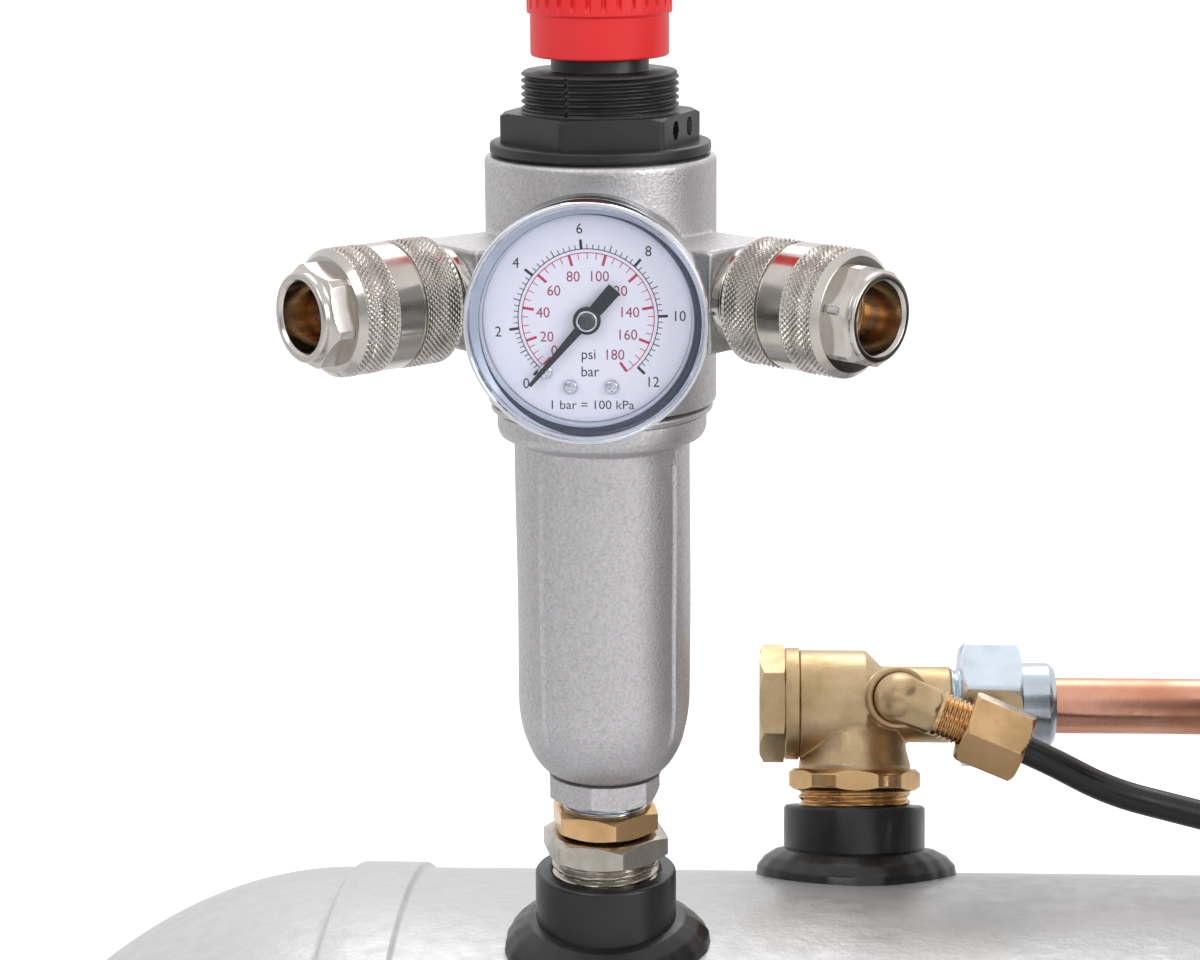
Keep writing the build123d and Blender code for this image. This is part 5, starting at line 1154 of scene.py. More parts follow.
@dataclass
class RegulatorColumn:
    """Nipples, filter bowl, cast body, bonnet and red knob, one over the other."""

    station: Station
    bore: float = 4.5
    steel_flats: float = 22.0
    steel_low: float = 18.6
    steel_high: float = 23.4
    steel_turn: float = 47.0
    brass_flats: float = 19.0
    brass_low: float = 23.8
    brass_high: float = 28.6
    brass_turn: float = 42.0
    bowl_hex_top: float = 35.4
    bowl_flats: float = 19.4
    bowl_turn: float = 19.0
    bowl_radius: float = 16.5
    bowl_straight: float = 51.6
    bowl_swell: float = 0.10
    flash_bearings: tuple[float, ...] = (-138, -42, 56, 138)
    flash_size: float = 0.42
    flash_foot: float = 38.0
    dome_foot: float = 8.6
    collar_foot: float = 103.0
    collar_radius: float = 19.7
    bowl_top: float = 108.75
    lip_radius: float = 20.85
    groove: float = 107.0
    body_radius: float = 21.4
    body_low: float = 109.25
    body_top: float = 155.3
    port_half: float = 9.25
    pad_radius: float = 14.5
    pad_reach: float = 22.0
    ring_radius: float = 17.4
    pad_root: float = 8.0
    pad_face: float = 25.5
    bonnet_turn: float = 10.0
    bonnet_flats: float = 32.3
    spanner_holes: tuple[float, float] = (-3.2, 3.6)
    hole_half_width: float = 1.25
    hole_half_height: float = 1.7
    hole_depth: float = 2.0
    thread_pitch: float = 1.26
    seam_bearing: float = -112.5
    seam_radius: float = 13.75
    knob_ribs: int = 30
    rib_depth: float = 0.7

    def build(self) -> None:
        """Make the pieces from the socket up."""
        place = self.station.outlet()
        self._steel_nipple(place)
        self._brass_nipple(place)
        self._bowl(place)
        self._body(place)
        self._bonnet(place)
        self._knob(place)

    def _steel_nipple(self, place: Place) -> None:
        """Nickel-plated reducing nipple with its shining thread."""
        low, high = self.steel_low, self.steel_high
        corner = self.steel_flats / math.sqrt(3)
        outline = softened(
            [
                (self.bore, 2.4), (10.45, 2.4), (10.45, low, 0.2), (10.9, low, 0.1),
                (corner, low + 0.85, 0.2), (corner, high - 0.85, 0.2), (10.7, high, 0.1), (6.65, high),
                (6.65, 12), (self.bore, 12),
            ],
            True,
        )
        hexagon = hexagonal(self.steel_flats, self.steel_turn, low, high)
        shape = chained(hexagon, threaded(1.65, 0.8, 12.5, low, 9.6))
        piece = turned("steel_nipple_shown", place, refined(outline, 0.12, 13, high + 0.1, True), 360, shape)
        finished(piece, NICKEL_STEEL, STATIC, "steel_nipple")

    def _brass_nipple(self, place: Place) -> None:
        """Brass union with the plated thread that enters the bowl."""
        low, high = self.brass_low, self.brass_high
        corner = self.brass_flats / math.sqrt(3)
        outline = softened(
            [
                (self.bore, 15.2), (6.6, 15.2), (6.6, low, 0.1), (9.1, low, 0.1), (corner, low + 0.9, 0.2),
                (corner, high - 0.9, 0.2), (9.1, high, 0.1), (7.0, high), (7.0, 31), (self.bore, 31),
            ],
            True,
        )
        shape = hexagonal(self.brass_flats, self.brass_turn, low, high)
        piece = turned("brass_union_shown", place, refined(outline, 0.12, low, high, True), 360, shape)
        finished(piece, TURNED_BRASS, STATIC, "brass_nipple")
        thread = softened([(7.0, high - 0.4), (8.3, high - 0.4), (8.3, 35), (7.0, 35)], True, 0.15)
        ring = turned(
            "plated_thread", place, refined(thread, 0.08, high - 0.3, 31, True), 288,
            threaded(0.9, 0.35, high - 0.3, 32, 7.6),
        )
        finished(ring, BLUE_ZINC, STATIC)

    def _bowl(self, place: Place) -> None:
        """Sand-cast filter bowl with its dome, flash lines and collar."""
        foot, top = self.station.bowl_foot, self.bowl_hex_top
        corner = self.bowl_flats / math.sqrt(3)
        dome = []
        steps = 16
        for step in range(1, steps + 1):
            turn = math.radians(90 * step / steps)
            out = self.dome_foot + (self.bowl_radius - self.dome_foot) * math.sin(turn)
            dome.append((out, self.bowl_straight - (self.bowl_straight - top) * math.cos(turn)))
        wall = self.bowl_radius - 2.3
        outside = [
            (8.5, foot + 0.4), (9.4, foot, 0.2), (corner, foot + 1.0, 0.4), (corner, top, 0.3),
            (8.7, top + 0.15, 0.5),
        ]
        outside += [(r, z, 0.0) for r, z in dome]
        collar, ledge = self.collar_radius, self.collar_foot
        groove, lip, rim = self.groove, self.lip_radius, self.bowl_top
        outside += [
            (self.bowl_radius + 0.05, ledge - 1.6, 0.7), (self.bowl_radius + 1.2, ledge - 1.0, 0.6),
            (collar - 0.5, ledge - 0.2, 0.9), (collar, ledge + 1.2, 1.0), (collar, groove - 0.1, 0.3),
            (lip - 1.5, groove, 0.1), (lip - 1.5, groove + 0.35, 0.1), (lip, groove + 0.6, 0.4),
            (lip, rim - 0.3, 0.4), (lip - 0.9, rim, 0.1), (wall, rim), (wall, self.bowl_straight),
            (6.0, top + 2.5), (8.5, top),
        ]
        outline = softened(outside, True)

        def flashes(radii: Grid, heights: Grid, angles: Grid) -> tuple[Grid, Grid]:
            lift = np.zeros_like(radii)
            tall = faded(heights, self.flash_foot, self.collar_foot - 1, 6, 4)
            for bearing in self.flash_bearings:
                away = away_from(angles, bearing - 90) * self.bowl_radius
                lift += self.flash_size * np.exp(-(away / self.flash_size) ** 2)
            waves = self.bowl_swell * np.sin(angles * 3 + heights * 0.11)
            swell = waves * (heights > self.bowl_straight - 12)
            return radii + (lift * tall + swell) * (radii > wall + 1), heights

        shape = chained(hexagonal(self.bowl_flats, self.bowl_turn, foot, top, 60), flashes)
        rows = refined(outline, 0.25, foot, top + 0.2, True)
        piece = turned("filter_bowl_shown", place, refined(rows, 1.5, 40, 104, True), 360, shape)
        finished(piece, SAND_CAST, STATIC, "filter_bowl")

    def _body(self, place: Place) -> None:
        """Sand-cast body: round barrel, gauge pad and two square port blocks in one skin."""
        inner = self.body_radius - 4.4
        radius, low, top = self.body_radius, self.body_low, self.body_top
        barrel = [
            (0, low), (radius - 0.25, low, 0.1), (radius, low + 0.35, 0.2), (radius, top - 0.6, 0.4),
            (radius - 0.5, top, 0.2), (inner, top, 0.2), (inner, top - 11), (0, top - 11),
        ]
        parts = [solid("barrel", place, barrel, 256)]
        front = self.station.gauge()
        pad = [(0, 0), (self.pad_radius, 0), (self.pad_radius, self.pad_reach, 1.0), (0, self.pad_reach)]
        parts.append(solid("pad", front, pad, 192))
        root, face = self.pad_root, self.pad_face
        ring = [(0, root), (self.ring_radius, root), (self.ring_radius, face), (0, face)]
        finished(solid("gauge_pad", front, ring, 192), MACHINED, STATIC)
        half, reach = self.port_half, self.station.port_reach
        for side in Side:
            parts.append(block("port", self.station.port(side), (-half, -half, 0), (half, half, reach), 0.5))
        piece = melted("regulator_body_shown", parts, 0.36, 3)
        finished(piece, SAND_CAST, STATIC, "regulator_body")

    def _bonnet(self, place: Place) -> None:
        """Black moulded bonnet: flange, hexagon with two spanner holes, long thread and neck."""
        top = self.body_top
        flange = top + 0.5
        hex_low = flange + 2.0
        hex_top = hex_low + 5.4
        thread_top = hex_top + 7.4
        corner = self.bonnet_flats / math.sqrt(3)
        outline = softened(
            [
                (11.9, top - 9), (16.9, top - 9), (16.9, top), (18.9, top, 0.1), (18.9, flange, 0.1),
                (20.4, flange, 0.4), (20.4, hex_low - 0.2, 0.4), (19.6, hex_low, 0.1),
                (corner, hex_low + 0.02, 0.1), (corner, hex_top - 0.7, 0.25), (17.4, hex_top, 0.2),
                (14.5, hex_top, 0.2), (14.5, thread_top - 0.5, 0.1), (13.9, thread_top, 0.1),
                (9.0, thread_top, 0.3), (9.0, thread_top + 2.5, 0.3), (5.1, thread_top + 2.5),
                (5.1, thread_top - 2.6), (11.9, thread_top - 2.6),
            ],
            True,
        )

        def holes(radii: Grid, heights: Grid, angles: Grid) -> tuple[Grid, Grid]:
            face = math.radians(self.bonnet_turn - 30)
            along = radii * np.sin(angles - face)
            near = np.cos(angles - face) > 0.7
            sunk = np.zeros_like(radii)
            for centre in self.spanner_holes:
                across = (along - centre) / self.hole_half_width
                upward = (heights - (hex_low + 2.7)) / self.hole_half_height
                inside = across ** 2 + upward ** 2 < 1
                sunk = np.where(inside & near & (radii > 15.5), self.hole_depth, sunk)
            seam = np.abs(away_from(angles, self.seam_bearing)) < math.radians(1.2)
            thread = (heights > hex_top + 0.3) & (heights < thread_top - 0.3) & (radii > 13)
            return np.where(thread & seam, np.minimum(radii, self.seam_radius), radii - sunk), heights

        shape = chained(
            hexagonal(self.bonnet_flats, self.bonnet_turn, hex_low + 0.01, hex_top),
            threaded(self.thread_pitch, 0.75, hex_top + 0.2, thread_top - 0.2, 13),
            holes,
        )
        rows = refined(outline, 0.14, flange, thread_top, True)
        piece = turned("regulator_bonnet_shown", place, rows, 360, shape)
        finished(piece, BLACK_NYLON, STATIC, "regulator_bonnet")

    def _knob(self, place: Place) -> None:
        """Red knob with a smooth skirt and a ribbed grip."""
        low, high = node_box("regulator_knob")
        foot = (low.z - place.origin.z) / MM
        top = (high.z - place.origin.z) / MM
        skirt = foot + 7.9
        outline = softened(
            [
                (9.7, foot), (12.7, foot, 0.5), (12.7, skirt - 0.3, 0.3), (13.3, skirt, 0.3),
                (13.3, top - 2.4, 0.4), (11.6, top, 0.9), (0, top),
            ],
            False,
        )
        outline += [(0, top - 3), (9.7, top - 3)]

        def ribs(radii: Grid, heights: Grid, angles: Grid) -> tuple[Grid, Grid]:
            phase = np.abs(np.mod(angles * self.knob_ribs / (2 * math.pi), 1) * 2 - 1)
            notch = np.clip((phase - 0.62) / 0.16, 0, 1)
            tall = faded(heights, skirt + 0.9, top - 0.6, 0.5, 0.8)
            return radii - self.rib_depth * notch * tall * (radii > 11), heights

        rows = refined(outline, 0.5, skirt, top, True)
        piece = turned("regulator_knob_shown", place, rows, 480, ribs)
        finished(piece, RED_ABS, "adjusting_knob", "regulator_knob")


@dataclass
class Gauge:
    """Small pressure gauge: plated case, printed dial, pointer and clear window."""

    psi_places: ClassVar[dict[int, tuple[float, float]]] = {
        0: (-5.75, -5.5), 20: (-7.0, -3.1), 40: (-7.6, 1.05), 60: (-5.75, 4.8), 80: (-2.45, 7.2),
        100: (1.87, 7.25), 120: (4.95, 4.75), 140: (6.95, 1.1), 160: (6.6, -2.75), 180: (4.4, -6.2),
    }
    # x, y and turn of each screw; x, y and radius of the painted shade band's inner and outer edge
    screws: ClassVar[tuple[tuple[float, ...], ...]] = ((-7.3, -9.2, 20), (-3.05, -11.8, 40), (3.95, -11.8, 5))
    gap_edges: ClassVar[tuple[tuple[float, ...], ...]] = ((-0.15, -0.2, 18.0), (0.72, -0.6, 18.9))

    station: Station
    front: float = 56.3
    depth: float = 17.5
    radius: float = 20.7
    dial_radius: float = 18.4
    dial_face: float = 51.1
    rest: float = -139.0
    full_scale: float = 12.0
    last_bearing: float = 135.0
    bar_turn: float = 23.34
    first_bars: float = 2.0
    first_bar_turn: float = 19.05
    print_x: float = 0.15
    print_y: float = 0.2
    band_radius: float = 18.15
    band_low: float = 53.2
    band_slope: float = 1.15
    bar_in_psi: float = 14.504
    ring_radius: float = 11.85
    psi_radius: float = 11.2
    number_radius: float = 15.4
    small_print: float = 1.55
    large_print: float = 1.82

    def build(self) -> None:
        """Make the case, dial, print, screws, pointer and window."""
        place = self.station.gauge()
        self._case(place)
        self._dial(place)
        self._pointer(place)
        self._window(place)

    def bearing(self, bar: float) -> float:
        """Angle of a pressure on the dial, clockwise from the top, in degrees."""
        even = max(bar, self.first_bars)
        back = (self.full_scale - even) * self.bar_turn
        return self.last_bearing - back - (even - bar) * self.first_bar_turn

    def _case(self, place: Place) -> None:
        """Plated cup with the hexagon of its stem, chromed bezel and the window's edge."""
        back = self.front - self.depth
        edge = self.radius
        cup = softened(
            [
                (0, 20), (4.8, 20), (4.8, 28), (8.0, 28, 0.1), (8.0, back, 0.1), (edge - 1.8, back, 1.2),
                (edge - 0.75, back + 1.2, 1.0), (edge - 0.75, 51.5), (17.6, 51.5), (17.6, back + 2),
                (0, back + 2),
            ],
            False,
        )
        rows = refined(cup, 0.4, 28, back)
        piece = turned("gauge_cup", place, rows, 288, hexagonal(14, 0, 27.9, back - 0.2), closed=False)
        # The cup's darkened steel is painted shade for the crescent between gauge and casting
        finished(piece, CUP_STEEL_WITH_PAINTED_SHADE, STATIC, "gauge_case")
        bezel = softened(
            [
                (edge - 1.3, 50.6), (edge - 0.4, 50.8, 0.4), (edge, 51.4, 0.4), (edge, 55.6, 0.4),
                (edge - 0.2, 56.25, 0.2), (edge - 0.62, 56.25, 0.15), (edge - 0.8, 55.7, 0.1),
                (edge - 1.3, 55.2),
            ],
            True,
        )
        finished(turned("gauge_bezel", place, bezel, 288), CHROME, STATIC)
        rim = softened(
            [
                (17.7, 51.3), (17.72, 53.0, 0.2), (17.95, 53.35, 0.15),
                (self.band_radius, self.band_low, 0.1),
                (edge - 0.9, self.band_low + (edge - 19.05) * self.band_slope, 0.1), (edge - 0.85, 51.3),
            ],
            True, 0.1,
        )
        finished(turned("gauge_rim", place, rim, 288), LENS_RIM, STATIC)
        # Painted shade: a dark navy band at the window's edge
        finished(self._gap(place), RIM_PAINTED_SHADE, STATIC)

    def _gap(self, place: Place) -> Piece:
        """Painted shade under the window's edge: a dark navy band, wide at the lower right, for the dark
        surroundings seen through the clear edge.
        """
        count = 240
        rings = []
        for x, y, radius in self.gap_edges:
            least = self.band_radius + 0.01 + 0.04 * len(rings)
            ring = []
            for step in range(count):
                turn = math.radians(360 / count * step)
                spot = Vector((x + radius * math.cos(turn), y + radius * math.sin(turn)))
                spot = spot.normalized() * max(spot.length, least)
                rise = 0.03 + (spot.length - self.band_radius) * self.band_slope
                ring.append((spot.x, spot.y, self.band_low + rise))
            rings.append(ring)
        faces = [(n, (n + 1) % count, count + (n + 1) % count, count + n) for n in range(count)]
        band = new_object("rim_gap", place, np.array(rings[0] + rings[1]), faces)
        wall = band.modifiers.new("wall", "SOLIDIFY")
        wall.thickness = 0.02 * MM
        wall.offset = 0
        return baked(band)

    def _stroke(self, place: Place, bearing: float, inner: float, outer: float, width: float) -> Piece:
        """One tick of the scale.

        Args:
            place: Frame of the print.
            bearing: Angle clockwise from the top.
            inner: Inner radius.
            outer: Outer radius.
            width: Width of the line.

        Returns:
            The tick.
        """
        turn = math.radians(90 - bearing)
        ahead = Vector((math.cos(turn), math.sin(turn)))
        side = Vector((-ahead.y, ahead.x)) * width / 2
        corners = [ahead * inner - side, ahead * outer - side, ahead * outer + side, ahead * inner + side]
        return plate("tick", place, [tuple(corner) for corner in corners], PRINT_HEIGHT)

    def _arc(self, place: Place, radius: float, width: float, last: float) -> Piece:
        """Thin arc of the scale from zero to a last angle."""
        steps = 180
        first = self.bearing(0)
        bearings = [math.radians(90 - first - (last - first) * step / steps) for step in range(steps + 1)]
        rings = []
        for edge in (radius - width / 2, radius + width / 2):
            rings.append([(math.cos(turn) * edge, math.sin(turn) * edge) for turn in bearings])
        inner, outer = rings
        pieces = []
        for number in range(steps):
            corners = [inner[number], outer[number], outer[number + 1], inner[number + 1]]
            pieces.append(plate("arc", place, corners, PRINT_HEIGHT))
        return joined("arc", pieces)

    def _dial(self, place: Place) -> None:
        """White dial with its two scales, generic unit words and three screws."""
        below = self.dial_face - 0.6
        disc = [
            (0, below), (self.dial_radius, below), (self.dial_radius, self.dial_face), (0, self.dial_face),
        ]
        finished(solid("gauge_dial_shown", place, disc, 192, 0.1), DIAL_ENAMEL, STATIC, "gauge_dial")
        face = place.inner((self.print_x, self.print_y, self.dial_face + 0.005), (1, 0, 0), (0, 0, 1))
        black = [self._arc(face, self.ring_radius, 0.15, self.bearing(self.full_scale))]
        for step in range(61):
            bar = step / 5
            length, width = (1.65, 0.46) if step % 10 == 0 else (1.15, 0.17) if step % 5 == 0 else (0.8, 0.14)
            start = self.ring_radius
            black.append(self._stroke(face, self.bearing(bar), start, start + length, width))
        for bar in range(0, 13, 2):
            turn = math.radians(90 - self.bearing(bar))
            x = self.number_radius * math.cos(turn)
            y = self.number_radius * math.sin(turn)
            black.append(lettering("number", str(bar), face, x, y, self.large_print))
        black.append(lettering("unit", "psi", face, 0.05, -6.1, self.large_print))
        black.append(lettering("unit", "bar", face, 0.25, -9.1, self.large_print))
        black.append(lettering("unit", "1 bar = 100 kPa", face, 0.5, -14.9, self.small_print, 1.05))
        finished(joined("dial_print_black", black), BLACK_INK, STATIC)
        last = self.bearing(180 / self.bar_in_psi)
        red = [self._arc(face, self.psi_radius, 0.15, last)]
        for step in range(37):
            bearing = self.bearing(step * 5 / self.bar_in_psi)
            length, width = (1.9, 0.46) if step % 4 == 0 else (1.1, 0.13)
            red.append(self._stroke(face, bearing, self.psi_radius - length, self.psi_radius, width))
        finished(joined("dial_print_red", red), RED_INK, STATIC)
        numbers = []
        for psi, (x, y) in self.psi_places.items():
            numbers.append(lettering("number", str(psi), face, x, y, self.large_print))
        finished(joined("dial_numbers_red", numbers), DARK_RED_INK, STATIC)
        screws = [self._screw(face, x, y, turn) for x, y, turn in self.screws]
        finished(joined("dial_screws", screws), CHROME, STATIC)

    def _screw(self, face: Place, x: float, y: float, turn: float) -> Piece:
        """Small pan-head screw with a cross recess."""
        head = softened([(0, 0), (1.25, 0), (1.35, 0.25, 0.2), (1.0, 0.75, 0.4), (0, 0.9)], False)

        def cross(radii: Grid, heights: Grid, angles: Grid) -> tuple[Grid, Grid]:
            turned_angles = angles - math.radians(turn)
            arm = np.minimum(np.abs(np.sin(turned_angles)), np.abs(np.cos(turned_angles))) * radii < 0.16
            return radii, np.where(arm & (radii < 0.75) & (heights > 0.3), heights - 0.35, heights)

        spot = face.inner((x, y, 0), (1, 0, 0), (0, 0, 1))
        return turned("screw", spot, refined(head, 0.06, 0.3, 1.0), 96, cross, closed=False)

    def _pointer(self, place: Place) -> None:
        """Black pointer with its broad tail, ring and steel hub."""
        rise = self.dial_face + 1.1
        bearing = math.radians(90 - self.rest)
        level = place.inner((0, 0, rise), (math.cos(bearing), math.sin(bearing), 0), (0, 0, 1))
        blade = [(14.9, -0.3), (14.9, 0.3), (2.0, 0.75), (-2.0, 1.1), (-2.9, 1.2), (-7.2, 1.25)]
        blade += [(-7.2, -1.25), (-2.9, -1.2), (-2.0, -1.1), (2.0, -0.75)]
        needle = plate("needle", level, blade, 0.3)
        ring = solid("ring", level, [(0, -0.4), (2.35, -0.4), (2.35, 0.5), (2.0, 0.7), (0, 0.7)], 96, 0.15)
        finished(joined("pointer_shown", [needle, ring]), BLACK_INK, "gauge_needle", "gauge_pointer")
        collar = softened([(1.45, 0.5), (1.8, 0.5), (1.8, 0.95, 0.15), (1.45, 0.95, 0.1)], True)
        finished(turned("pointer_collar", level, collar, 96), CHROME, "gauge_needle")
        cap = [
            (0, 0.5), (1.46, 0.5), (1.46, 0.8, 0.2), (1.1, 1.1, 0.4), (0.4, 1.0, 0.1), (0.35, 1.35, 0.1),
            (0, 1.4),
        ]
        finished(solid("pointer_cap", level, cap, 96), BLUED_STEEL, "gauge_needle")

    def _window(self, place: Place) -> None:
        """Clear window, a little domed, held inside the bezel."""
        outline = [(0, 55.0), (19.2, 55.25), (19.8, 55.45, 0.1), (19.7, 55.75, 0.1), (0, 55.9)]
        finished(solid("gauge_window", place, outline, 192), WINDOW, STATIC, "gauge_glass")


@dataclass
class Coupler:
    """Quick coupler: fixed body with its nose, knurled sleeve and brass poppet."""

    station: Station
    side: Side
    mouth: float = 66.6
    seat_depth: float = 14.6
    collar_front: float = 64.9
    sleeve_front: float = 61.1
    sleeve_back: float = 38.9
    sleeve_radius: float = 11.4
    bore: float = 6.2
    knurls: int = 66
    knurl_pitch: float = 1.06
    knurl_depth: float = 0.5

    def name(self) -> str:
        """Word that starts the names of this coupler's pieces."""
        return self.side.name.lower()

    def build(self) -> None:
        """Make the body, its brass seat, the sleeve and the poppet."""
        place = self.station.port(self.side)
        self._body(place)
        self._sleeve(place)
        self._poppet(place)

    def _body(self, place: Place) -> None:
        """Turned body from the block to the nose."""
        seat = self.mouth - self.seat_depth
        face = self.station.port_reach
        outline = softened(
            [
                (4.5, face - 9), (6.5, face - 9), (6.5, face), (9.0, face, 0.2), (9.0, face + 2.0, 0.4),
                (7.6, face + 2.6, 0.2), (7.6, self.sleeve_front, 0.1), (9.2, self.sleeve_front, 0.2),
                (9.2, self.collar_front - 0.5, 0.3), (8.2, self.collar_front + 0.2, 0.3),
                (7.9, self.collar_front + 0.6, 0.2), (7.9, self.mouth - 0.3, 0.25), (7.5, self.mouth, 0.2),
                (6.7, self.mouth, 0.2), (self.bore, self.mouth - 0.6, 0.2), (self.bore, seat), (4.2, seat),
                (4.2, seat - 1.5), (5.9, seat - 1.5), (5.9, face), (4.5, face),
            ],
            True,
        )
        shape = hexagonal(16.6, 15, self.sleeve_front - 0.01, self.collar_front + 0.1)
        rows = refined(outline, 0.2, self.sleeve_front, self.collar_front + 1, True)
        piece = turned(self.name() + "_coupler_body_shown", place, rows, 360, shape)
        finished(piece, NICKEL_BRASS, STATIC, self.name() + "_coupler_body")
        ring = softened(
            [
                (4.5, seat + 0.4), (self.bore - 0.02, seat + 0.4), (self.bore - 0.02, seat + 5.2),
                (5.3, seat + 5.2, 0.3), (4.6, seat + 2.4, 0.3),
            ],
            True, 0.1,
        )
        finished(turned(self.name() + "_coupler_seat", place, ring, 144), TURNED_BRASS, STATIC)

    def _sleeve(self, place: Place) -> None:
        """Sliding sleeve with two knurled bands and a smooth one."""
        back, front, radius = self.sleeve_back, self.sleeve_front, self.sleeve_radius
        band_low, band_high = front - 13.2, front - 8.0
        outline = softened(
            [
                (7.8, back + 4.2), (9.3, back + 4.2), (9.3, back), (9.9, back, 0.2),
                (radius - 0.1, back + 0.9, 0.3), (radius, back + 1.1, 0.2), (radius, band_low - 0.6, 0.15),
                (radius - 0.7, band_low - 0.45, 0.1), (radius - 0.7, band_low, 0.1),
                (radius - 0.15, band_low + 0.1, 0.15), (radius - 0.15, band_high, 0.1),
                (radius, band_high + 0.1, 0.1), (radius, front - 1.4, 0.2),
                (radius - 0.15, front - 1.2, 0.2), (radius - 1.3, front, 0.25), (7.8, front),
            ],
            True, 0.2,
        )
        bands = [(back + 1.0, band_low - 0.5), (band_high, front - 1.2)]
        rows = refined(outline, 0.13, back + 1, front - 1, True)
        shape = knurled(self.knurls, self.knurl_pitch, self.knurl_depth, bands, radius - 0.3)
        piece = turned(self.name() + "_coupler_sleeve_shown", place, rows, self.knurls * 8, shape)
        finished(piece, NICKEL_BRASS, self.name() + "_sleeve", self.name() + "_coupler_sleeve")

    def _poppet(self, place: Place) -> None:
        """Brass poppet that closes the seat."""
        seat = self.mouth - self.seat_depth
        outline = [
            (0, seat - 10), (3.0, seat - 10), (3.0, seat - 5), (4.9, seat - 5), (4.9, seat - 1.8),
            (3.7, seat - 1.8), (3.7, seat + 0.1), (2.6, seat + 0.4), (0, seat + 0.1),
        ]
        piece = solid(self.name() + "_coupler_poppet_shown", place, outline, 96, 0.2)
        finished(piece, TURNED_BRASS, self.name() + "_poppet", self.name() + "_coupler_poppet")


